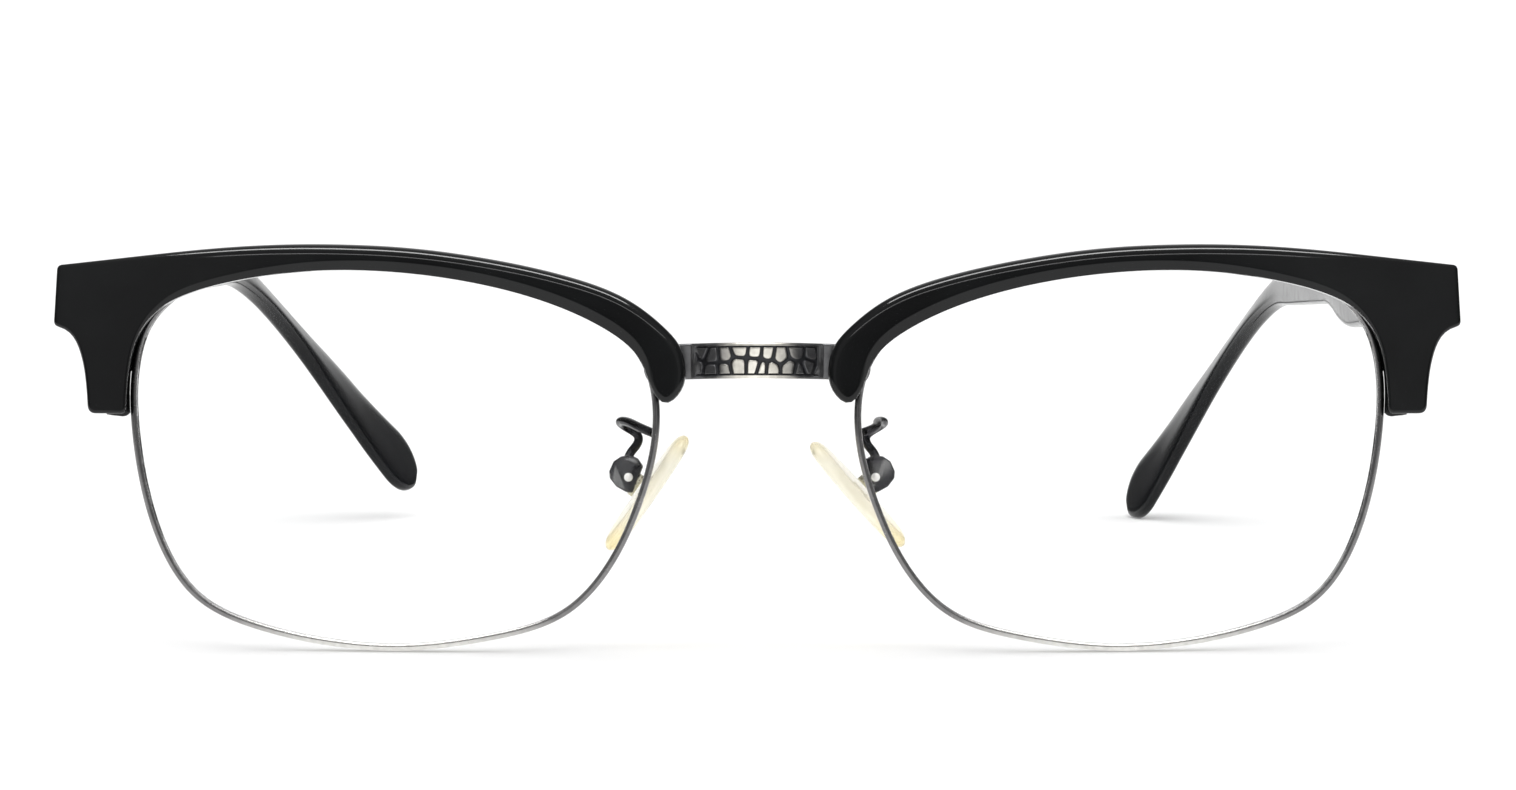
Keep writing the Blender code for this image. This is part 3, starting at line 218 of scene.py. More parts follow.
# Screws and rivets: start of the CAD name, axis, which end the head is on, head radius and height in mm,
# and whether the head is slotted
FRONT_FASTENERS = [
    ("rim_screw_", 2, -1, 0.75, 0.5, True), ("bridge_screw_", 1, 1, 0.95, 0.5, True),
    ("lug_screw_", 1, 1, 0.95, 0.5, True), ("hinge_screw_", 2, 1, 0.95, 0.5, True),
    ("hinge_front_rivet_1_", 1, 1, 0.9, 0.3, False), ("hinge_front_rivet_2_", 1, 1, 0.9, 0.3, False),
]
TEMPLE_FASTENERS = [
    ("hinge_temple_rivet_1_", 0, -1, 0.9, 0.3, False), ("hinge_temple_rivet_2_", 0, -1, 0.9, 0.3, False),
]
SCREW_SLOT_HALF = 0.12 * MM
PAD_SCREW_SLOT_HALF = 0.13 * MM

# Metal blocks and leaves of the front whose CAD edges only need rounding: name, look and width in mm
SOFTENED = [
    ("rim_block_upper_", "block", 0.12), ("rim_block_lower_", "block", 0.12), ("rim_lug_", "block", 0.08),
    ("hinge_front_leaf_", "hinge", 0.1),
]

# Studio brightness: what the surroundings look like from the object, over how far sideways they lie
STUDIO_WHITE = 1.28
STUDIO_FRONT = [(0.0, 0.12), (0.3, 0.14), (0.48, 0.42), (0.72, 0.42), (0.88, 0.06)]
STUDIO_BACK = [(0.0, 1.15), (0.22, 1.05), (0.42, 0.14), (0.85, 0.05)]
STUDIO_TOP = 0.5
STUDIO_BELOW = 1.12
STUDIO_TOP_SHARE = [(0.0, 0.0), (0.3, 0.25), (0.7, 0.15), (0.9, 1.0)]
STUDIO_TURN = 0.3
STUDIO_HORIZON = 0.12
FLOOR_CORNERS = [(-6.0, -3.0, 0.0), (6.0, -3.0, 0.0), (6.0, 6.0, 0.0), (-6.0, 6.0, 0.0)]

# Strip lights: name, place, size and radiance
STRIPS = [
    ("top_strip", (0.0, -0.12, 0.75), (0.8, 0.12), 16.0),
    ("front_strip", (0.0, -0.62, 0.5), (0.9, 0.05), 6.0),
]


# ---------------------------------------------------------------- curves and outlines

def smooth_curve(points, count=None, step=None, closed=False):
    """Natural cubic spline through the points, sampled evenly along its length."""
    p = np.array(points, dtype=float)
    wrap = 4
    if closed:
        p = np.vstack([p[-wrap:], p, p[:wrap + 1]])
    t = run_lengths(p)
    h = np.diff(t)
    n = len(p)
    system = np.eye(n)
    right = np.zeros_like(p)
    for i in range(1, n - 1):
        system[i, i - 1:i + 2] = h[i - 1], 2 * (h[i - 1] + h[i]), h[i]
        right[i] = 6 * ((p[i + 1] - p[i]) / h[i] - (p[i] - p[i - 1]) / h[i - 1])
    bend = np.linalg.solve(system, right)

    def at(values):
        i = np.clip(np.searchsorted(t, values) - 1, 0, n - 2)
        a = ((t[i + 1] - values) / h[i])[:, None]
        b = 1 - a
        hh = (h[i] ** 2)[:, None] / 6
        return a * p[i] + b * p[i + 1] + hh * ((a ** 3 - a) * bend[i] + (b ** 3 - b) * bend[i + 1])

    low, high = (t[wrap], t[-wrap - 1]) if closed else (t[0], t[-1])
    fine = np.linspace(low, high, 2001)
    dense = at(fine)
    run = run_lengths(dense)
    if count is None:
        count = max(2, round(run[-1] / step))
    even = np.linspace(0.0, run[-1], count + 1)
    samples = at(np.interp(even, run, fine))
    return samples[:-1] if closed else samples


def run_lengths(points):
    """Distance along a line of points, up to each of them."""
    return np.concatenate([[0.0], np.cumsum(np.linalg.norm(np.diff(points, axis=0), axis=1))])


def circle(count, start=0.0):
    """Evenly spaced angles once round."""
    return [2 * math.pi * (i + start) / count for i in range(count)]


def squared(value, power):
    """A cosine or sine with its sign kept and its size raised to a power, which squares off a circle."""
    return math.copysign(abs(value) ** power, value)


def arc_corner(before, corner, after, radius, steps=8):
    """Points of a round corner that replaces a sharp one."""
    a = (before - corner) / np.linalg.norm(before - corner)
    b = (after - corner) / np.linalg.norm(after - corner)
    half = math.acos(max(-1.0, min(1.0, float(a @ b)))) / 2
    reach = radius / math.tan(half)
    start = corner + a * reach
    end = corner + b * reach
    shares = [i / steps for i in range(steps + 1)]
    return [(1 - f) ** 2 * start + 2 * f * (1 - f) * corner + f ** 2 * end for f in shares]


def rounded_polygon(corners, radius):
    """A closed outline through the corners, each of them rounded."""
    outline = []
    for i, corner in enumerate(corners):
        outline += arc_corner(corners[i - 1], corner, corners[(i + 1) % len(corners)], radius, 4)
    return np.array(outline)


def outline_normals(outline):
    """Unit vectors that point out of a closed outline, and the miter stretch at each point."""
    ahead = np.roll(outline, -1, axis=0) - outline
    ahead /= np.linalg.norm(ahead, axis=1)[:, None]
    behind = np.roll(ahead, 1, axis=0)
    tangent = ahead + behind
    tangent /= np.linalg.norm(tangent, axis=1)[:, None]
    x, z = outline[:, 0], outline[:, 1]
    turning = np.sum(x * np.roll(z, -1) - np.roll(x, -1) * z)
    sign = 1.0 if turning > 0 else -1.0
    normal = np.stack([tangent[:, 1], -tangent[:, 0]], axis=1) * sign
    stretch = 1 / np.clip(np.sum(tangent * ahead, axis=1), 0.5, 1.0)
    return normal, stretch


def inset(outline, amount):
    """The outline moved inwards by amount, one number or one for each point."""
    normal, stretch = outline_normals(outline)
    return outline - normal * (amount * stretch)[:, None]


def brow_outline():
    """The brow's outline, and the width and depth of its rounded front edge at each point."""
    top_points = np.array(BROW_TOP)
    top = smooth_curve(top_points[:, :2] * MM, step=BROW_STEP)
    leg = smooth_curve(np.array(BROW_LEG_OUTER) * MM, step=BROW_STEP)
    knots = run_lengths(top_points[:, :2])
    place = np.linspace(0.0, knots[-1], len(top))
    top_edge = np.stack([np.interp(place, knots, top_points[:, k]) for k in (2, 3)], axis=1)
    leg_edge = np.full((len(leg), 2), LEG_EDGE)
    runs = [(top, top_edge), (leg, leg_edge)]
    outline = []
    edges = []
    corner = 0
    for i, (run, edge) in enumerate(runs):
        previous = runs[i - 1][0]
        following = runs[(i + 1) % len(runs)][0]
        first = trim(run, CORNER_RADII[corner])
        last = len(run) - trim(run[::-1], CORNER_RADII[corner + 1])
        start = arc_corner(previous[-1], run[0], run[first], CORNER_RADII[corner])
        end = arc_corner(run[last - 1], run[-1], following[0], CORNER_RADII[corner + 1])
        outline += start + list(run[first:last]) + end
        edges += [edge[0]] * len(start) + list(edge[first:last]) + [edge[-1]] * len(end)
        corner += 2
    return np.array(outline), np.array(edges) * MM


def trim(run, radius):
    """Index of the first point of a run that is clear of the round corner at its start."""
    far = np.linalg.norm(run - run[0], axis=1) > radius * 1.6
    return int(np.argmax(far))


def rim_outline():
    """Outer outline of the +X rim, starting at the closing block."""
    return smooth_curve(np.array(RIM_POINTS) * MM, count=RIM_STATIONS, closed=True)


def front_depth(x, z):
    """How far the curved front lies behind its foremost point."""
    dx = abs(x) - EYE_X
    dz = z - EYE_Z
    return (dx * dx + dz * dz) / (2 * BASE_RADIUS) + FACE_FORM * dx


# ---------------------------------------------------------------- mesh building

class Mesh:
    """Vertices and faces that functions add to before they become an object."""

    def __init__(self):
        self.verts = []
        self.faces = []

    def add_ring(self, points):
        """Add points and return their indices."""
        first = len(self.verts)
        self.verts += [tuple(p) for p in points]
        return list(range(first, first + len(points)))

    def join_rings(self, a, b):
        """Add the wall of faces between two rings with the same number of points."""
        for i in range(len(a)):
            j = (i + 1) % len(a)
            self.faces.append((a[i], a[j], b[j], b[i]))

    def moved(self, matrix):
        """Move every point by a matrix, and return the mesh."""
        self.verts = [tuple(matrix @ Vector(v)) for v in self.verts]
        return self


def inside_by(point, polygon, margin):
    """True where a point is inside a polygon and at least margin from its edges."""
    a = polygon
    b = np.roll(polygon, -1, axis=0)
    crossing = (a[:, 1] > point[1]) != (b[:, 1] > point[1])
    rise = np.where(b[:, 1] == a[:, 1], 1e-12, b[:, 1] - a[:, 1])
    at = (b[:, 0] - a[:, 0]) * (point[1] - a[:, 1]) / rise + a[:, 0]
    inside = np.count_nonzero(crossing & (point[0] < at)) % 2 == 1
    along = b - a
    f = np.clip(np.sum((point - a) * along, axis=1) / np.sum(along * along, axis=1), 0, 1)
    near = np.min(np.linalg.norm(a + along * f[:, None] - point, axis=1))
    return inside and near > margin


def cap_outline(mesh, ring, y, spacing):
    """Fill a ring that lies on the curved front with a triangulated sheet."""
    flat = np.array([(mesh.verts[i][0], mesh.verts[i][2]) for i in ring])
    low = flat.min(axis=0)
    high = flat.max(axis=0)
    points = [Vector(p) for p in flat]
    for i, x in enumerate(np.arange(low[0] + spacing / 2, high[0], spacing)):
        for z in np.arange(low[1] + spacing * (0.25 + 0.5 * (i % 2)), high[1], spacing):
            if inside_by(np.array([x, z]), flat, spacing * 0.45):
                points.append(Vector((x, z)))
    edges = [(i, (i + 1) % len(flat)) for i in range(len(flat))]
    out_points, _, triangles, sources, _, _ = delaunay_2d_cdt(points, edges, [], 1, 1e-9)
    index = {}
    for i, source in enumerate(sources):
        if source and source[0] < len(flat):
            index[i] = ring[source[0]]
        else:
            x, z = out_points[i]
            mesh.verts.append((x, y + front_depth(x, z), z))
            index[i] = len(mesh.verts) - 1
    return [tuple(index[i] for i in triangle) for triangle in triangles]


def front_slab(levels, spacing):
    """Closed solid on the curved front: levels are (outline, y) from front to back."""
    mesh = Mesh()
    rings = []
    for outline, y in levels:
        depth = np.broadcast_to(y, len(outline))
        rings.append(mesh.add_ring([(x, d + front_depth(x, z), z) for (x, z), d in zip(outline, depth)]))
    for a, b in zip(rings, rings[1:]):
        mesh.join_rings(a, b)
    mesh.faces += cap_outline(mesh, rings[0], float(np.min(levels[0][1])), spacing)
    mesh.faces += cap_outline(mesh, rings[-1], float(np.min(levels[-1][1])), spacing)
    return mesh


def loft(sections):
    """Closed solid through rings of points, with a flat face on each end."""
    mesh = Mesh()
    rings = [mesh.add_ring(section) for section in sections]
    for a, b in zip(rings, rings[1:]):
        mesh.join_rings(a, b)
    mesh.faces.append(tuple(rings[0]))
    mesh.faces.append(tuple(reversed(rings[-1])))
    return mesh


def turned(profile, place, segments=32):
    """Solid of revolution: profile is (radius, height) along the place matrix's z axis."""
    spokes = [(math.cos(a), math.sin(a)) for a in circle(segments)]
    return loft([[place @ Vector((radius * c, radius * s, height)) for c, s in spokes]
                 for radius, height in profile])


def block(low, high, turn=None):
    """Box between two corners, turned by a matrix if one is given."""
    mesh = Mesh()
    for z in (low[2], high[2]):
        corners = [(low[0], low[1], z), (high[0], low[1], z), (high[0], high[1], z), (low[0], high[1], z)]
        mesh.add_ring([turn @ Vector(c) if turn else c for c in corners])
    mesh.join_rings([0, 1, 2, 3], [4, 5, 6, 7])
    mesh.faces += [(3, 2, 1, 0), (4, 5, 6, 7)]
    return mesh


def axis_place(origin, direction):
    """Matrix whose z axis points along direction from origin."""
    turn = Vector((0, 0, 1)).rotation_difference(Vector(direction)).to_matrix().to_4x4()
    return Matrix.Translation(origin) @ turn


# ---------------------------------------------------------------- objects

def standing(mesh, side):
    """World vertices and faces of a mesh made for the +X side of the front."""
    verts = [STAND @ Vector((x * side, y, z)) for x, y, z in mesh.verts]
    faces = mesh.faces
    if side < 0:
        faces = [tuple(reversed(face)) for face in faces]
    return verts, faces


def add_object(name, data):
    """A new object with this data, in the scene."""
    item = bpy.data.objects.new(name, data)
    bpy.context.scene.collection.objects.link(item)
    return item


def new_object(name, mesh, side):
    """An object made from a mesh for the +X side, stood up on its own side."""
    verts, faces = standing(mesh, side)
    data = bpy.data.meshes.new(name)
    data.from_pydata(verts, [], faces)
    work = bmesh.new()
    work.from_mesh(data)
    bmesh.ops.recalc_face_normals(work, faces=work.faces)
    work.to_mesh(data)
    work.free()
    return add_object(name, data)


def combine(item, operation, mesh, side):
    """Apply a Boolean with a mesh to an object."""
    other = new_object("tool", mesh, side)
    modifier = item.modifiers.new("tool", "BOOLEAN")
    modifier.operation = operation
    modifier.solver = "EXACT"
    modifier.object = other
    bpy.context.view_layer.update()
    graph = bpy.context.evaluated_depsgraph_get()
    result = bpy.data.meshes.new_from_object(item.evaluated_get(graph))
    item.modifiers.clear()
    item.data = result
    bpy.data.objects.remove(other)


def stand_in(item, node, look, smooth=35.0):
    """Give a finished piece its material and let it ride and stand for a CAD node."""
    item.data.shade_smooth()
    item.data.set_sharp_from_angle(angle=math.radians(smooth))
    item.data.materials.clear()
    item.data.materials.append(look)
    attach(item, frame["nodes"][node]["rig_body"])
    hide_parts(node)
    return item


def cad_points(node, side, matrix):
    """A CAD node's points in the front's frame for the +X side, before matrix turned it."""
    back = matrix.inverted() @ Matrix.Diagonal((side, 1, 1, 1)) @ STAND.inverted()
    return np.array([back @ v.co for v in frame["nodes"][node].data.vertices])


# ---------------------------------------------------------------- front pieces

def make_brow(side_name, side, look):
    """Acetate brow with a crowned front edge, seated on the rim and pocketed for the hinge leaf."""
    outline, edge = brow_outline()
    width, depth = edge[:, 0], edge[:, 1]
    rounded = np.clip((depth / width - 0.45) / 0.3, 0, 1)
    levels = []
    for k in range(BEVEL_STEPS + 1):
        f = k / BEVEL_STEPS
        a = math.pi / 2 * f
        reach = rounded * math.sin(a) + (1 - rounded) * f
        drop = rounded * (1 - math.cos(a)) + (1 - rounded) * f ** 1.5
        levels.append((inset(outline, width * (1 - reach)), BROW_FRONT + depth * drop))
    ledge = inset(outline, -LEDGE * ledge_share(outline))
    levels += [(outline, BROW_PLATE_BACK), (ledge, BROW_PLATE_BACK + 0.05 * MM),
               (ledge, BROW_BACK - 0.25 * MM), (inset(ledge, 0.08 * MM), BROW_BACK - 0.08 * MM),
               (inset(ledge, 0.25 * MM), BROW_BACK)]
    brow = new_object("brow_shape_" + side_name, front_slab(levels, BROW_SPACING), side)
    seat = inset(rim_outline(), -SEAT_FIT)
    seat_cutter = front_slab([(seat, BROW_PLATE_BACK), (seat, CUT_THROUGH)], CUTTER_SPACING)
    combine(brow, "DIFFERENCE", seat_cutter, side)
    mid = front_depth(BLOCK_X[1], 0)
    pocket = block((BLOCK_X[0] - 2 * MM, mid + BROW_PLATE_BACK - 0.2 * MM, BLOCK_BOTTOM - 2 * MM),
                   (BLOCK_X[1] + GAP, mid + CUT_THROUGH, BLOCK_TOP + GAP))
    combine(brow, "DIFFERENCE", pocket, side)
    leaf_pocket = block((PIVOT.x - 3 * MM, FRONT_LEAF_Y - GAP, HINGE_BOTTOM - GAP),
                        (FRONT_LEAF_END_X + GAP, FRONT_LEAF_Y + CUT_THROUGH, HINGE_TOP + GAP))
    combine(brow, "DIFFERENCE", leaf_pocket, side)
    return stand_in(brow, "brow_" + side_name, look, 40)


def ledge_share(outline):
    """1 along the leg's lens side, where a ledge closes the slit beside the rim, and 0 elsewhere."""
    x, z = outline[:, 0] / MM, outline[:, 1] / MM
    on_leg = (x > 58.5) & (x < 64.5) & (z < 9.0)
    return np.where(on_leg, np.clip((x - 59.0) / 2.5, 0, 1), 0.0)


def make_rim(side_name, side, look):
    """Swept rim section with a chamfered front edge, open at the closing block."""
    outline = rim_outline()
    normal, stretch = outline_normals(outline)
    split = BLOCK_SPLIT / 2
    section = [
        (0.0, RIM_FRONT + 0.34 * MM), (0.0, RIM_BACK - RIM_ROUND), (RIM_ROUND, RIM_BACK),
        (RIM_WALL - RIM_ROUND, RIM_BACK), (RIM_WALL, RIM_BACK - RIM_ROUND), (RIM_WALL, RIM_GROOVE),
        (RIM_GROOVE, 0.0), (RIM_WALL, -RIM_GROOVE), (RIM_WALL, RIM_FRONT + 0.24 * MM),
        (RIM_WALL * 0.82, RIM_FRONT + 0.07 * MM), (RIM_WALL * 0.55, RIM_FRONT),
        (RIM_WALL * 0.3, RIM_FRONT + 0.05 * MM), (RIM_WALL * 0.08, RIM_FRONT + 0.2 * MM),
    ]
    start, end = (np.array([outline[0][0], BLOCK_SPLIT_Z + half]) for half in (-split, split))
    stations = [(0, start)] + list(enumerate(outline))[1:] + [(0, end)]
    sections = []
    for i, point in stations:
        ring = []
        for inwards, y in section:
            x, z = point - normal[i] * inwards * stretch[i]
            ring.append((x, y + front_depth(x, z), z))
        sections.append(ring)
    rim = new_object("rim_shape_" + side_name, loft(sections), side)
    return stand_in(rim, "rim_" + side_name, look, 50)


def make_lens(side_name, side, look):
    """Clear lens whose bevelled edge sits in the rim's groove."""
    outline = rim_outline()
    face = inset(outline, RIM_WALL)
    edge = inset(outline, LENS_EDGE_INSET)
    levels = [(face, -LENS_HALF), (face, -0.3 * MM), (edge, 0.0), (face, 0.3 * MM), (face, LENS_HALF)]
    lens = new_object("lens_shape_" + side_name, front_slab(levels, LENS_SPACING), side)
    lens.visible_shadow = False
    return stand_in(lens, "lens_" + side_name, look, 20)


# ---------------------------------------------------------------- bridge

def relief_seeds():
    """Two staggered rows of cell centres along the bridge, shifted by a fixed pseudo-random amount."""
    rng = np.random.default_rng(7)
    seeds = []
    reach = BRIDGE_END_X + 2 * RELIEF_CELL
    for row, z in enumerate((-0.82 * MM, 0.78 * MM)):
        x = -reach + row * RELIEF_CELL * 0.55
        while x < reach:
            jitter = rng.uniform(-0.32, 0.32, 2) * MM
            seeds.append((x + jitter[0], z + jitter[1]))
            x += RELIEF_CELL * rng.uniform(0.7, 1.35)
    return np.array(seeds)


def relief_height(x, z, seeds):
    """1 on a cell or the plain border, 0 in the channels between them."""
    offset = seeds - np.array([x, z])
    order = np.argsort(np.linalg.norm(offset, axis=1))[:5]
    nearest = seeds[order[0]]
    walls = []
    for k in order[1:]:
        across = seeds[k] - nearest
        middle = (seeds[k] + nearest) / 2
        walls.append(float(np.dot(middle - np.array([x, z]), across) / np.linalg.norm(across)))
    wall = -RELIEF_ROUND * math.log(sum(math.exp(-w / RELIEF_ROUND) for w in walls))
    cell = smooth_step(RELIEF_CHANNEL * 0.35, RELIEF_CHANNEL * 1.6, wall)
    from_edge = BRIDGE_HALF_HEIGHT - abs(z)
    border = 1 - smooth_step(RELIEF_BORDER, RELIEF_BORDER + 0.12 * MM, from_edge)
    groove = smooth_step(RELIEF_BORDER + 0.1 * MM, RELIEF_BORDER + 0.26 * MM, from_edge)
    ends = smooth_step(BRIDGE_END_X - 0.7 * MM, BRIDGE_END_X - 0.4 * MM, abs(x))
    return max(cell * groove, border, ends)


def smooth_step(low, high, value):
    """0 below low, 1 above high, and an S curve between them."""
    f = min(1.0, max(0.0, (value - low) / (high - low)))
    return f * f * (3 - 2 * f)


def bridge_front_y(x):
    """Front face of the bridge: bowed forwards between the brows."""
    f = min(1.0, abs(x) / BRIDGE_END_X)
    return BRIDGE_END_Y - BRIDGE_BOW * (1 - f * f)


def bridge_bar():
    """The bar with its relief cut into the front face."""
    seeds = relief_seeds()
    reach = BRIDGE_PAD_X - 0.5 * MM
    half = BRIDGE_HALF_HEIGHT
    sections = []
    for i in range(BRIDGE_COLUMNS + 1):
        x = -reach + 2 * reach * i / BRIDGE_COLUMNS
        mid = BRIDGE_MID_Z + BRIDGE_RISE * (1 - (x / reach) ** 2)
        front = bridge_front_y(x)
        ring = []
        for j in range(BRIDGE_ROWS + 1):
            z = half * (-1 + 2 * j / BRIDGE_ROWS)
            out = max(0.0, abs(z) - (half - BRIDGE_EDGE)) / BRIDGE_EDGE
            rounding = BRIDGE_EDGE * (1 - math.sqrt(max(0.0, 1 - out * out)))
            sunk = RELIEF_DEPTH * (1 - relief_height(x, z, seeds))
            ring.append((x, front + rounding + sunk + BRIDGE_TILT * (half - z), mid + z))
        back = front + BRIDGE_THICK
        ring += [(x, back - BRIDGE_BEVEL, mid + half), (x, back, mid + half - BRIDGE_BEVEL),
                 (x, back, mid - half + BRIDGE_BEVEL), (x, back - BRIDGE_BEVEL, mid - half)]
        sections.append(ring)
    return loft(sections)


def mark_relief(bridge):
    """Store how raised each point of the bridge's front is, for its material."""
    seeds = relief_seeds()
    back = STAND.inverted()
    values = []
    for v in bridge.data.vertices:
        p = back @ v.co
        mid = BRIDGE_MID_Z + BRIDGE_RISE * (1 - (p.x / BRIDGE_PAD_X) ** 2)
        front = p.y < bridge_front_y(p.x) + BRIDGE_THICK * 0.6
        values.append(relief_height(p.x, p.z - mid, seeds) if front else 0.6)
    bridge.data.attributes.new("relief", "FLOAT", "POINT").data.foreach_set("value", values)


def make_bridge(look):
    """The bar joined to the round pad at each of its ends."""
    bridge = new_object("bridge_shape", bridge_bar(), 1)
    inner = BRIDGE_PAD_RADIUS - BRIDGE_PAD_BEVEL
    profile = [(inner, 0), (BRIDGE_PAD_RADIUS, BRIDGE_PAD_BEVEL),
               (BRIDGE_PAD_RADIUS, BRIDGE_THICK - BRIDGE_PAD_BEVEL), (inner, BRIDGE_THICK)]
    place = axis_place(Vector((BRIDGE_PAD_X, BRIDGE_END_Y, BRIDGE_MID_Z - BRIDGE_PAD_DROP)), (0, 1, 0))
    for side in SIDES.values():
        combine(bridge, "UNION", turned(profile, place, 48), side)
    mark_relief(bridge)
    return stand_in(bridge, "bridge", look, 45)


# ---------------------------------------------------------------- fasteners and small metal parts

def make_fasteners(table, side_name, side, look, matrix=Matrix.Identity(4)):
    """Every screw and rivet of a table, for one side."""
    for start, axis, end, radius, height, slotted in table:
        fastener(start + side_name, side, axis, (end, radius * MM, height * MM), look, matrix, slotted)


def fastener(node, side, axis, head, look, matrix, slotted):
    """Round screw or rivet in a CAD node's place.

    axis is 0, 1 or 2, and head is (which end, radius, height) with the end as 1 or -1.
    """
    points = cad_points(node, side, matrix)
    low, high = Vector(points.min(axis=0)), Vector(points.max(axis=0))
    end, radius, height = head
    direction = Vector((0, 0, 0))
    direction[axis] = end
    shank = shank_radius(points, axis)
    top = (high[axis] - low[axis]) / 2
    under = top - height
    profile = [(shank * 0.8, -top), (shank, -top + 0.1 * MM), (shank, under), (radius * 0.94, under),
               (radius, under + height * 0.15), (radius, under + height * 0.45)]
    for k in range(1, 6):
        a = math.pi / 2 * k / 6
        profile.append((radius * math.cos(a), under + height * (0.45 + 0.55 * math.sin(a))))
    place = axis_place((low + high) / 2, direction)
    item = new_object(node + "_shape", turned(profile, place).moved(matrix), side)
    if slotted:
        wide = radius * 1.4
        cutter = block((-wide, -SCREW_SLOT_HALF, top - height * 0.55),
                       (wide, SCREW_SLOT_HALF, top + 0.3 * MM), place)
        combine(item, "DIFFERENCE", cutter.moved(matrix), side)
    return stand_in(item, node, look, 40)


def shank_radius(points, axis):
    """Half width of a fastener's shank, from the CAD points nearest to its axis."""
    middle = (points.min(axis=0) + points.max(axis=0)) / 2
    across = np.delete(points - middle, axis, axis=1)
    return float(np.linalg.norm(across, axis=1).min())


def softened(node, look, width):
    """Copy of a CAD node with its sharp edges rounded, which stands for it."""
    work = bmesh.new()
    work.from_mesh(frame["nodes"][node].data)
    bmesh.ops.remove_doubles(work, verts=work.verts, dist=1e-6)
    bmesh.ops.dissolve_limit(work, angle_limit=math.radians(1), verts=work.verts, edges=work.edges)
    edges = [e for e in work.edges if len(e.link_faces) == 2 and e.calc_face_angle() > math.radians(40)]
    bmesh.ops.bevel(work, geom=edges, offset=width, segments=3, profile=0.5, affect="EDGES",
                    clamp_overlap=True)
    data = bpy.data.meshes.new(node + "_shape")
    work.to_mesh(data)
    work.free()
    return stand_in(add_object(node + "_shape", data), node, look, 30)


# ---------------------------------------------------------------- temples

def temple_turn(side_name):
    """Splay and pitch of one temple about the hinge, for the +X side."""
    splay = Matrix.Rotation(-TEMPLE_SPLAY[side_name], 4, "Z")
    pitch = Matrix.Rotation(TEMPLE_PITCH[side_name], 4, "X")
    return Matrix.Translation(PIVOT) @ splay @ pitch @ Matrix.Translation(-PIVOT)


def temple_knots(s, knots):
    """Value at arc length s from (lengths in mm, values), rounded off near each knot."""
    around = s / MM + np.linspace(-1.0, 1.0, 5) * TEMPLE_BLEND
    return float(np.mean(np.interp(around, *knots)))


def temple_centre(s, side_name):
    """Centre line point of the temple at arc length s, and how far it has bent down there."""
    angle = max(0.0, min(TEMPLE_DROP, (s - TEMPLE_STRAIGHT) / TEMPLE_BEND_RADIUS))
    y = min(s, TEMPLE_STRAIGHT) + TEMPLE_BEND_RADIUS * math.sin(angle)
    z = -TEMPLE_BEND_RADIUS * (1 - math.cos(angle))
    beyond = max(0.0, s - TEMPLE_STRAIGHT - TEMPLE_BEND_RADIUS * TEMPLE_DROP)
    y += beyond * math.cos(TEMPLE_DROP)
    z -= beyond * math.sin(TEMPLE_DROP)
    z += temple_knots(s, TEMPLE_TOPS) * MM - temple_size(min(s, TEMPLE_STRAIGHT), side_name)[0]
    lean = -TEMPLE_LEAN[side_name] * max(0.0, s - TEMPLE_LEAN_START) ** 2
    return Vector((TEMPLE_X + lean, TEMPLE_FRONT_Y + y, TEMPLE_Z + z)), angle


def temple_frame(s, side_name):
    """Centre point and the section's own sideways and upward directions at arc length s."""
    point, angle = temple_centre(s, side_name)
    ahead, _ = temple_centre(s + 0.5 * MM, side_name)
    behind, _ = temple_centre(s - 0.5 * MM, side_name)
    along = (ahead - behind).normalized()
    up = Vector((0, math.sin(angle), math.cos(angle)))
    side = along.cross(up).normalized()
    up = side.cross(along).normalized()
    turn = Matrix.Rotation(-math.radians(temple_knots(s, TEMPLE_TWISTS)), 3, along)
    return point, turn @ side, turn @ up


def temple_size(s, side_name):
    """Half height and half thickness of the temple at arc length s."""
    heights = list(TEMPLE_HEIGHTS)
    heights[TEMPLE_FLARE_AT] = TEMPLE_FLARE[side_name]
    height = temple_knots(s, (TEMPLE_LENGTHS, heights)) * MM
    thick = temple_knots(s, (TEMPLE_LENGTHS, TEMPLE_THICKS)) * MM
    return height / 2, thick / 2


def temple_ring(s, half_height, half_thick, side_name, sides=TEMPLE_SIDES, square=0.62):
    """Rounded section, nearly flat on its two wide faces."""
    point, side, up = temple_frame(s, side_name)
    ring = []
    for a in circle(sides, 0.5):
        x = squared(math.cos(a), square) * half_thick
        z = squared(math.sin(a), square) * half_height
        ring.append(point + side * x + up * z)
    return ring


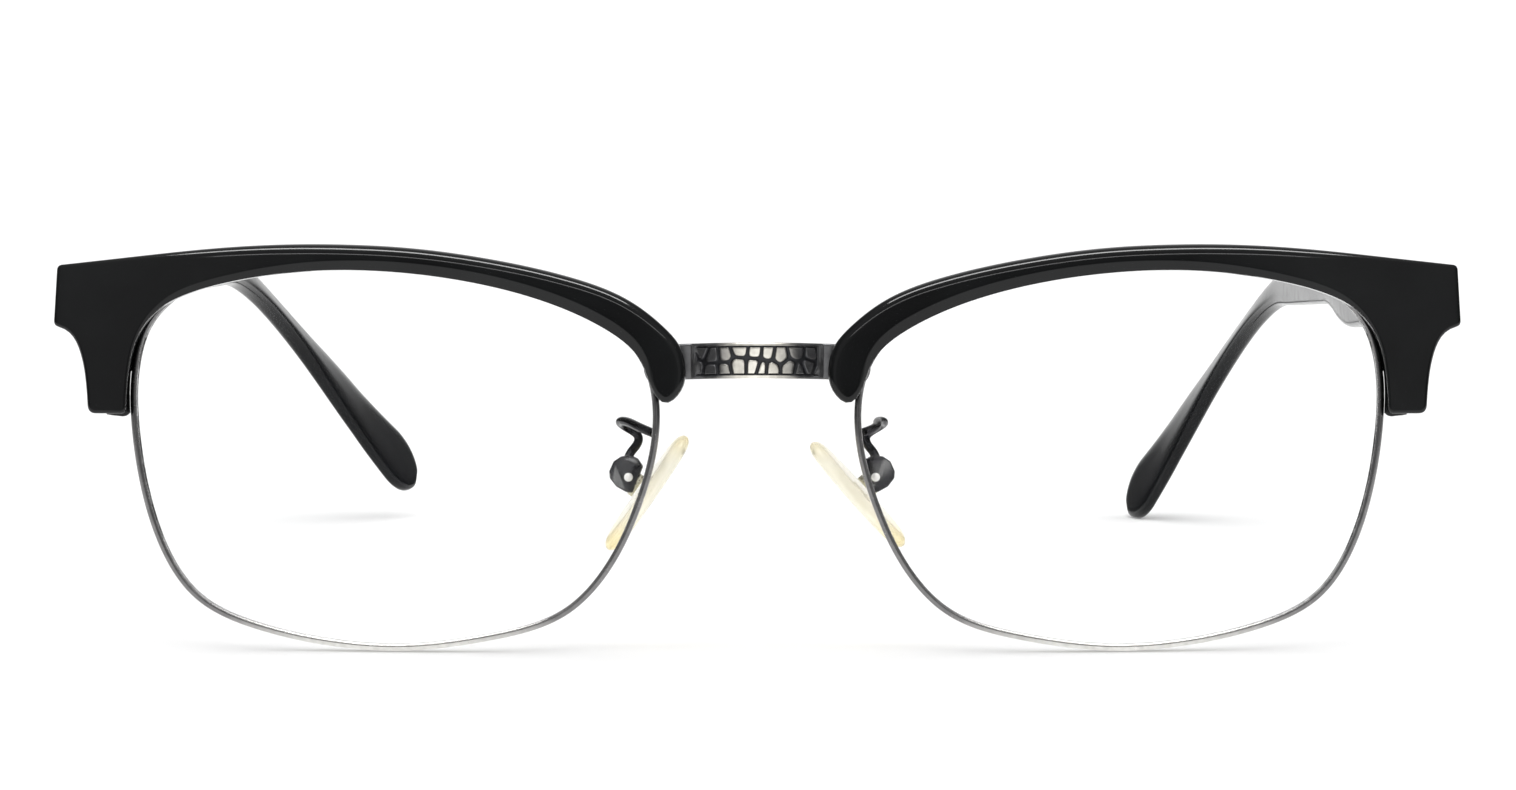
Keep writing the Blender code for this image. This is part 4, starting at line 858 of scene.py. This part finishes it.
def temple_mesh(side_name):
    """Temple with its open bore: outer skin, front ring, bore wall and the bore's end."""
    mesh = Mesh()
    tip_half, _ = temple_size(TEMPLE_LENGTH, side_name)
    body_end = TEMPLE_LENGTH - tip_half * 0.9
    outer = []
    for s, shrink in ((0.0, 0.12 * MM), (0.04 * MM, 0.04 * MM), (0.12 * MM, 0.0)):
        high, thick = temple_size(s, side_name)
        outer.append(mesh.add_ring(temple_ring(s, high - shrink, thick - shrink, side_name)))
    for i in range(1, TEMPLE_STATIONS + 1):
        s = body_end * i / TEMPLE_STATIONS
        outer.append(mesh.add_ring(temple_ring(s, *temple_size(s, side_name), side_name)))
    for i in range(1, TEMPLE_TIP_STATIONS + 1):
        f = math.sin(math.pi / 2 * i / TEMPLE_TIP_STATIONS) * 0.92
        s = body_end + (TEMPLE_LENGTH - body_end) * f
        round_off = math.sqrt(1 - f * f)
        high, thick = temple_size(s, side_name)
        section = temple_ring(s, high * round_off, thick * (0.35 + 0.65 * round_off), side_name)
        outer.append(mesh.add_ring(section))
    for a, b in zip(outer, outer[1:]):
        mesh.join_rings(a, b)
    mesh.faces.append(tuple(reversed(outer[-1])))
    bore = []
    bore_end = CORE_END + 0.5 * MM
    for i in range(BORE_STATIONS + 1):
        section = temple_ring(bore_end * i / BORE_STATIONS, CORE_HALF[1] + CORE_GAP, CORE_HALF[0] + CORE_GAP,
                              side_name, square=0.5)
        bore.append(mesh.add_ring(section))
    mesh.join_rings(bore[0], outer[0])
    for a, b in zip(bore, bore[1:]):
        mesh.join_rings(b, a)
    mesh.faces.append(tuple(bore[-1]))
    return mesh


def make_temple(side_name, side, looks):
    """Temple with its core wire, hinge leaf and rivets."""
    turn = temple_turn(side_name)
    temple = new_object("temple_shape_" + side_name, temple_mesh(side_name).moved(turn), side)
    stand_in(temple, "temple_" + side_name, looks["temple"], 40)
    sections = []
    for i in range(CORE_STATIONS + 1):
        s = CORE_START + (CORE_END - CORE_START) * i / CORE_STATIONS
        sections.append(temple_ring(s, CORE_HALF[1], CORE_HALF[0], side_name, 12, 0.8))
    core = new_object("temple_core_shape_" + side_name, loft(sections).moved(turn), side)
    stand_in(core, "temple_core_" + side_name, looks["core"])
    softened("hinge_temple_leaf_" + side_name, looks["hinge"], 0.1 * MM)
    make_fasteners(TEMPLE_FASTENERS, side_name, side, looks["steel"], turn)


# ---------------------------------------------------------------- nose pads

def make_pad_arm(side_name, side, look):
    """Round wire swept along its bent path."""
    points = np.array(ARM_PATH) * MM
    points[2:, 0] += PAD_PIVOT[side_name].x - PAD_PIVOT["right"].x
    path = smooth_curve(points, count=90)
    sections = []
    across = Vector((0, 0, 1))
    for i, point in enumerate(path):
        ahead = Vector(path[min(i + 1, len(path) - 1)]) - Vector(path[max(i - 1, 0)])
        ahead.normalize()
        across = (across - ahead * across.dot(ahead)).normalized()
        other = ahead.cross(across)
        sections.append([Vector(point) + (across * math.cos(a) + other * math.sin(a)) * ARM_RADIUS
                         for a in circle(20)])
    arm = new_object("pad_arm_shape_" + side_name, loft(sections), side)
    return stand_in(arm, "pad_arm_" + side_name, look, 50)


def make_pad_box(side_name, side, looks):
    """Rounded socket with a slot for the pad's stem, and the domed screw across it."""
    pivot = PAD_PIVOT[side_name]
    half = BOX_DEPTH / 2
    outline = rounded_polygon(np.array(BOX_OUTLINE) * MM, BOX_CORNER)
    sections = []
    for shrink, y in [(shrink, -y) for shrink, y in BOX_ENDS] + list(reversed(BOX_ENDS)):
        ring = inset(outline, shrink * MM)
        sections.append([pivot + Vector((x, y * half, z)) for x, z in ring])
    box = new_object("pad_box_shape_" + side_name, loft(sections), side)
    low, high = STEM_SLOT
    combine(box, "DIFFERENCE", block(Vector(low) * MM, Vector(high) * MM, Matrix.Translation(pivot)), side)
    stand_in(box, "pad_box_" + side_name, looks["arm"], 40)
    make_pad_screw(side_name, side, looks["steel"])


def make_pad_screw(side_name, side, look):
    """Pad screw: a domed, riveted end in front and a slotted head behind."""
    node = "pad_screw_" + side_name
    points = cad_points(node, side, Matrix.Identity(4))
    low, high = Vector(points.min(axis=0)), Vector(points.max(axis=0))
    pivot = PAD_PIVOT[side_name]
    front = low.y - pivot.y
    back = high.y - pivot.y
    shank = shank_radius(points, 1)
    radius = (high.x - low.x) / 2
    profile = []
    for k in range(6):
        a = math.pi / 2 * k / 6
        profile.append((shank * 1.3 * math.sin(a) + 0.03 * MM, front + 0.28 * MM * (1 - math.cos(a))))
    profile += [(shank, front + 0.3 * MM), (shank, back - 0.4 * MM), (radius * 0.95, back - 0.4 * MM),
                (radius, back - 0.34 * MM), (radius, back - 0.12 * MM), (radius * 0.9, back - 0.03 * MM),
                (radius * 0.7, back)]
    place = axis_place(pivot, (0, 1, 0))
    screw = new_object("pad_screw_shape_" + side_name, turned(profile, place), side)
    cutter = block((-1.5 * MM, -PAD_SCREW_SLOT_HALF, back - 0.25 * MM),
                   (1.5 * MM, PAD_SCREW_SLOT_HALF, back + 1 * MM), place)
    combine(screw, "DIFFERENCE", cutter, side)
    return stand_in(screw, node, look, 40)


def pad_place(side_name):
    """Pad frame: x out of the bearing face, y across, z along the pad."""
    lean = Matrix.Rotation(PAD_ANGLE[side_name], 4, "Y")
    splay = Matrix.Rotation(-PAD_SPLAY, 4, "Z")
    turn = Matrix.Rotation(math.pi, 4, "Z")
    return Matrix.Translation(PAD_CENTRE[side_name]) @ lean.inverted() @ splay @ turn


def pad_outline(shrink, points=56):
    """Rounded D outline: wider below than above."""
    outline = []
    for a in circle(points):
        across = squared(math.cos(a), 0.85) * (PAD_WIDTH / 2 - shrink) * (1 - 0.12 * math.sin(a))
        outline.append((across, math.sin(a) * (PAD_LENGTH / 2 - shrink)))
    return outline


def make_nose_pad(side_name, side, looks):
    """Soft pad: a round-edged lens shape, and the metal tab that carries it."""
    place = pad_place(side_name)
    half = PAD_THICK / 2
    sections = []
    for k in range(PAD_LEVELS):
        a = math.pi * (k + 0.5) / PAD_LEVELS - math.pi / 2
        shrink = (1 - math.cos(a) ** 0.75) * PAD_ROUND
        x = half * math.sin(a)
        sections.append([place @ Vector((x, y, z)) for y, z in pad_outline(shrink)])
    pad = new_object("nose_pad_shape_" + side_name, loft(sections), side)
    pad.visible_shadow = False
    stand_in(pad, "nose_pad_" + side_name, looks["pad"], 60)
    softened("pad_stem_" + side_name, looks["insert"], 0.06 * MM)


# ---------------------------------------------------------------- materials

class Graph:
    """Short ways to add nodes to a node tree. A source is a socket, a number or a colour's three numbers."""

    def __init__(self, tree):
        self.nodes = tree.nodes
        self.links = tree.links

    def feed(self, source, socket):
        """Link a source to an input, or set it there."""
        if isinstance(source, bpy.types.NodeSocket):
            self.links.new(source, socket)
        else:
            socket.default_value = (*source, 1.0) if isinstance(source, tuple) else source

    def math(self, operation, *sources, clamp=False):
        """Result of a sum with one or two sources."""
        node = self.nodes.new("ShaderNodeMath")
        node.operation = operation
        node.use_clamp = clamp
        for source, socket in zip(sources, node.inputs):
            self.feed(source, socket)
        return node.outputs[0]

    def spread(self, value, low, high, start=0.3, end=0.7, kind="LINEAR"):
        """A value from start to end mapped to low to high."""
        node = self.nodes.new("ShaderNodeMapRange")
        node.interpolation_type = kind
        limits = {"Value": value, "From Min": start, "From Max": end, "To Min": low, "To Max": high}
        for name, source in limits.items():
            self.feed(source, node.inputs[name])
        return node.outputs["Result"]

    def ramp(self, value, stops):
        """Colour of a value from 0 to 1, from (position, colour) or (position, brightness) stops."""
        node = self.nodes.new("ShaderNodeValToRGB")
        elements = node.color_ramp.elements
        while len(elements) < len(stops):
            elements.new(0.5)
        for element, (position, color) in zip(elements, stops):
            element.position = position
            element.color = (*(color if isinstance(color, tuple) else grey(color)), 1.0)
        self.links.new(value, node.inputs["Fac"])
        return node.outputs["Color"]

    def blend(self, factor, a, b, kind="MIX"):
        """Mix of two colours."""
        node = self.nodes.new("ShaderNodeMix")
        node.data_type = "RGBA"
        node.blend_type = kind
        for source, number in ((factor, 0), (a, 6), (b, 7)):
            self.feed(source, node.inputs[number])
        return node.outputs[2]


def grey(brightness):
    """A grey colour."""
    return (brightness, brightness, brightness)


class Look(Graph):
    """A material made round one shader."""

    def __init__(self, name, roughness, metallic=0.0, ior=1.5):
        self.material = bpy.data.materials.new(name)
        self.material.use_nodes = True
        super().__init__(self.material.node_tree)
        self.shader = self.nodes["Principled BSDF"]
        self.place = self.nodes.new("ShaderNodeTexCoord").outputs["Object"]
        self.put("Roughness", roughness)
        self.put("Metallic", metallic)
        self.put("IOR", ior)

    def put(self, name, source):
        """Set one of the shader's inputs."""
        self.feed(source, self.shader.inputs[name])

    def noise(self, per_mm, detail=2.0, stretch=(1, 1, 1)):
        """Noise from 0 to 1 with about this many blotches in a millimetre."""
        mapping = self.nodes.new("ShaderNodeMapping")
        mapping.inputs["Scale"].default_value = [k * per_mm / MM for k in stretch]
        texture = self.nodes.new("ShaderNodeTexNoise")
        self.feed(1.0, texture.inputs["Scale"])
        self.feed(detail, texture.inputs["Detail"])
        self.feed(self.place, mapping.inputs["Vector"])
        self.feed(mapping.outputs["Vector"], texture.inputs["Vector"])
        return texture.outputs["Fac"]

    def mottled(self, per_mm, detail, dark, light, start=0.3, end=0.7):
        """Colour that wanders between two colours."""
        return self.ramp(self.noise(per_mm, detail), [(start, dark), (end, light)])

    def axis(self, name):
        """One coordinate of the point, in metres."""
        node = self.nodes.new("ShaderNodeSeparateXYZ")
        self.feed(self.place, node.inputs[0])
        return node.outputs[name]

    def worn_edges(self):
        """0 to 1, higher on the edges that stick out."""
        node = self.nodes.new("ShaderNodeNewGeometry")
        return self.spread(node.outputs["Pointiness"], 0.0, 1.0, 0.52, 0.6)

    def bump(self, height, distance):
        """Bump of this height in millimetres, added over any bump made before."""
        node = self.nodes.new("ShaderNodeBump")
        self.feed(distance * MM, node.inputs["Distance"])
        self.feed(1.0, node.inputs["Strength"])
        self.feed(height, node.inputs["Height"])
        normal = self.shader.inputs["Normal"]
        if normal.links:
            self.feed(normal.links[0].from_socket, node.inputs["Normal"])
        self.feed(node.outputs["Normal"], normal)


def acetate_look(name, dark, light, roughness, gloss):
    """Polished black acetate: faint depth in the colour, soft polishing haze and hairline marks."""
    look = Look(name, roughness[0], ior=1.45)
    look.put("Base Color", look.mottled(0.12, 3.0, dark, light, 0.35, 0.65))
    look.put("Roughness", look.spread(look.noise(0.6, 4.0), *roughness))
    look.bump(look.noise(0.35, 1.0), 0.004)
    look.bump(look.noise(9.0, 2.0, (1, 1, 0.15)), 0.0006)
    look.put("Specular IOR Level", gloss)
    return look.material


def metal_look(name, dark, light, roughness, grain=14.0, wear=None, metallic=1.0):
    """Plated metal: colour that varies a little, fine satin grain, and edges worn brighter."""
    look = Look(name, roughness[0], metallic=metallic)
    base = look.mottled(1.1, 4.0, dark, light)
    if wear:
        base = look.blend(look.worn_edges(), base, wear)
    look.put("Base Color", base)
    look.put("Roughness", look.spread(look.noise(3.0, 3.0), *roughness))
    look.bump(look.noise(grain, 3.0), 0.0035)
    return look.material


def bridge_look():
    """Gunmetal with dark channels and raised cells whose colour holds a painted highlight: pale towards the
    middle of the bridge, where its forward bow mirrors the lights, and dark gunmetal towards its ends.
    """
    look = Look("bridge_gunmetal", 0.3, metallic=0.62)
    raised = look.nodes.new("ShaderNodeAttribute")
    raised.attribute_name = "relief"
    height = raised.outputs["Fac"]
    # Painted highlight: the cells' colour is pale in the middle of the bridge and fades to dark gunmetal
    # from about 0.6 to 4.2 mm out
    highlight_falloff = look.spread(look.math("ABSOLUTE", look.axis("X")), 0.0, 1.0, 0.6 * MM, 4.2 * MM)
    painted_highlight = look.ramp(highlight_falloff, [(0.0, (1.0, 0.97, 0.88)), (0.35, (0.74, 0.71, 0.64)),
                                  (1.0, (0.16, 0.16, 0.165))])
    cells = look.blend(1.0, painted_highlight, look.mottled(1.6, 3.0, 0.72, 1.0), "MULTIPLY")
    channel = (0.035, 0.036, 0.04)
    look.put("Base Color", look.blend(look.spread(height, 0.0, 1.0, 0.45, 0.95), channel, cells))
    look.put("Roughness", look.spread(height, 0.42, 0.2, 0.3, 1.0))
    look.bump(look.noise(10.0, 3.0), 0.004)
    return look.material


def rim_look():
    """Dark gunmetal, with a painted reflection: the colour is painted pale silver along the bottom of the
    wire, where its lower bevel mirrors the white floor.
    """
    look = Look("rim_gunmetal", 0.3, metallic=1.0)
    base = look.mottled(0.7, 2.0, (0.2, 0.198, 0.2), (0.26, 0.255, 0.255))
    # Painted reflection: pale silver colour on the part of the wire within a few millimetres of the floor,
    # fading out from 0.6 to 3.5 mm up
    low = look.spread(look.axis("Z"), 1.0, 0.0, 0.6 * MM, 3.5 * MM)
    painted_reflection = look.mottled(1.5, 3.0, (0.66, 0.65, 0.62), (0.8, 0.79, 0.76))
    look.put("Base Color", look.blend(low, base, painted_reflection))
    look.put("Roughness", look.spread(look.noise(2.0, 2.0), 0.2, 0.28))
    look.bump(look.noise(16.0, 2.0), 0.001)
    return look.material


def lens_look():
    """Clear polished lens with a faint smear in its gloss, and a low index so that it mirrors little."""
    look = Look("clear_lens", 0.0, ior=1.1)
    look.put("Base Color", look.mottled(0.05, 2.0, (0.995, 1.0, 1.0), 1.0))
    look.put("Roughness", look.spread(look.noise(0.08, 3.0), 0.0, 0.008))
    look.put("Transmission Weight", 1.0)
    look.put("Specular IOR Level", 0.25)
    return look.material


def pad_look():
    """Translucent pale silicone, yellower towards its two ends."""
    look = Look("silicone_pad", 0.3, ior=1.12)
    along = look.spread(look.axis("Z"), 0.0, 1.0, 9.5 * MM, 22.0 * MM)
    middle = (0.91, 0.88, 0.76)
    tint = look.ramp(along, [(0.0, (0.86, 0.73, 0.36)), (0.28, middle), (0.72, middle),
                             (1.0, (0.86, 0.74, 0.38))])
    look.put("Base Color", look.blend(look.spread(look.noise(0.5, 3.0), 0.0, 0.3), tint, (0.88, 0.83, 0.66)))
    look.put("Roughness", look.spread(look.noise(0.8, 2.0), 0.14, 0.22))
    look.bump(look.noise(0.7, 1.0), 0.001)
    look.put("Transmission Weight", 0.7)
    look.put("Coat Weight", 0.5)
    look.put("Coat Roughness", 0.2)
    return look.material


def make_looks():
    """Every material, by the short name that the pieces ask for."""
    return {
        "brow": acetate_look("black_acetate", (0.0025, 0.0027, 0.003), (0.0045, 0.005, 0.0053),
                             (0.06, 0.12), 0.4),
        "temple": acetate_look("black_temple", (0.0025, 0.0028, 0.0034), (0.0045, 0.005, 0.006),
                               (0.09, 0.17), 0.22),
        "rim": rim_look(),
        "bridge": bridge_look(),
        "block": metal_look("block_gunmetal", (0.11, 0.11, 0.11), (0.2, 0.195, 0.19), (0.26, 0.38),
                            wear=(0.5, 0.48, 0.45)),
        "arm": metal_look("arm_gunmetal", (0.014, 0.014, 0.016), (0.03, 0.03, 0.034), (0.16, 0.28),
                          wear=(0.16, 0.16, 0.16)),
        "hinge": metal_look("hinge_gunmetal", (0.16, 0.16, 0.16), (0.26, 0.26, 0.255), (0.24, 0.36),
                            wear=(0.55, 0.54, 0.52)),
        "steel": metal_look("polished_steel", (0.7, 0.69, 0.66), (0.84, 0.83, 0.8), (0.12, 0.24), 20.0,
                            metallic=0.65),
        "core": metal_look("core_steel", (0.45, 0.45, 0.45), (0.6, 0.6, 0.6), (0.25, 0.4)),
        "insert": metal_look("insert_metal", (0.58, 0.55, 0.42), (0.7, 0.66, 0.52), (0.2, 0.35)),
        "lens": lens_look(),
        "pad": pad_look(),
    }


# ---------------------------------------------------------------- stage, lights and camera

def make_floor():
    """Plain pale flat floor, which polished surfaces don't mirror."""
    data = bpy.data.meshes.new("floor")
    data.from_pydata(FLOOR_CORNERS, [], [(0, 1, 2, 3)])
    look = Look("floor_paper", 0.9)
    look.put("Base Color", look.mottled(0.02, 3.0, 0.92, 0.94))
    look.bump(look.noise(0.5, 3.0), 0.01)
    data.materials.append(look.material)
    floor = add_object("floor", data)
    floor.visible_glossy = False


def add_strip(name, at, size, radiance):
    """Long soft light that only draws the highlight lines on polished surfaces."""
    light = bpy.data.lights.new(name, "AREA")
    light.shape = "RECTANGLE"
    light.size, light.size_y = size
    light.energy = radiance * math.pi * size[0] * size[1]
    item = add_object(name, light)
    item.location = at
    item.rotation_euler = (-Vector(at)).to_track_quat("-Z", "Y").to_euler()
    item.visible_diffuse = False
    item.visible_camera = False
    item.visible_transmission = False


def make_world():
    """Evenly white surroundings, in which polished surfaces mirror a studio with dark side walls.

    A ray that has passed through a lens also counts as glossy, so it is told apart and sees white.
    """
    world = bpy.data.worlds.new("studio")
    bpy.context.scene.world = world
    world.use_nodes = True
    graph = Graph(world.node_tree)
    split = graph.nodes.new("ShaderNodeSeparateXYZ")
    graph.feed(graph.nodes.new("ShaderNodeTexCoord").outputs["Generated"], split.inputs[0])
    sideways = graph.math("ABSOLUTE", split.outputs["X"])
    front = graph.ramp(sideways, STUDIO_FRONT)
    back = graph.ramp(sideways, STUDIO_BACK)
    backwards = graph.spread(split.outputs["Y"], 0.0, 1.0, -STUDIO_TURN, STUDIO_TURN, "SMOOTHSTEP")
    around = graph.blend(backwards, front, back)
    upwards = graph.ramp(split.outputs["Z"], STUDIO_TOP_SHARE)
    mirrored = graph.blend(upwards, around, grey(STUDIO_TOP))
    below = graph.math("MULTIPLY", split.outputs["Z"], -1.0)
    downwards = graph.spread(below, 0.0, 1.0, 0.0, STUDIO_HORIZON, "SMOOTHSTEP")
    mirrored = graph.blend(downwards, mirrored, grey(STUDIO_BELOW))
    ray = graph.nodes.new("ShaderNodeLightPath").outputs
    reflected = graph.math("SUBTRACT", ray["Is Glossy Ray"], ray["Is Transmission Ray"], clamp=True)
    background = graph.nodes["Background"].inputs
    graph.feed(graph.blend(reflected, grey(STUDIO_WHITE), mirrored), background["Color"])
    graph.feed(1.0, background["Strength"])


def make_camera():
    """Camera in front of the glasses, level with them in their own leaning frame."""
    data = bpy.data.cameras.new("camera")
    data.sensor_width = 36.0
    data.lens = CAMERA_LENS
    data.shift_x = CAMERA_SHIFT_X
    data.clip_start = 0.01
    data.clip_end = 50.0
    camera = add_object("camera", data)
    camera.matrix_world = STAND @ Matrix.Translation(CAMERA_AT) @ Matrix.Rotation(math.pi / 2, 4, "X")
    bpy.context.scene.camera = camera


# ---------------------------------------------------------------- whole object

def make_side(side_name, side, looks):
    """Every piece of one half of the glasses."""
    make_brow(side_name, side, looks["brow"])
    make_rim(side_name, side, looks["rim"])
    make_lens(side_name, side, looks["lens"])
    for start, look, width in SOFTENED:
        softened(start + side_name, looks[look], width * MM)
    make_fasteners(FRONT_FASTENERS, side_name, side, looks["steel"])
    make_temple(side_name, side, looks)
    make_pad_arm(side_name, side, looks["arm"])
    make_pad_box(side_name, side, looks)
    make_nose_pad(side_name, side, looks)


def main():
    """The glasses, the stage and the camera."""
    looks = make_looks()
    for side_name, side in SIDES.items():
        make_side(side_name, side, looks)
    make_bridge(looks["bridge"])
    make_floor()
    make_world()
    for strip in STRIPS:
        add_strip(*strip)
    bpy.context.scene.view_settings.view_transform = "Standard"
    make_camera()


main()
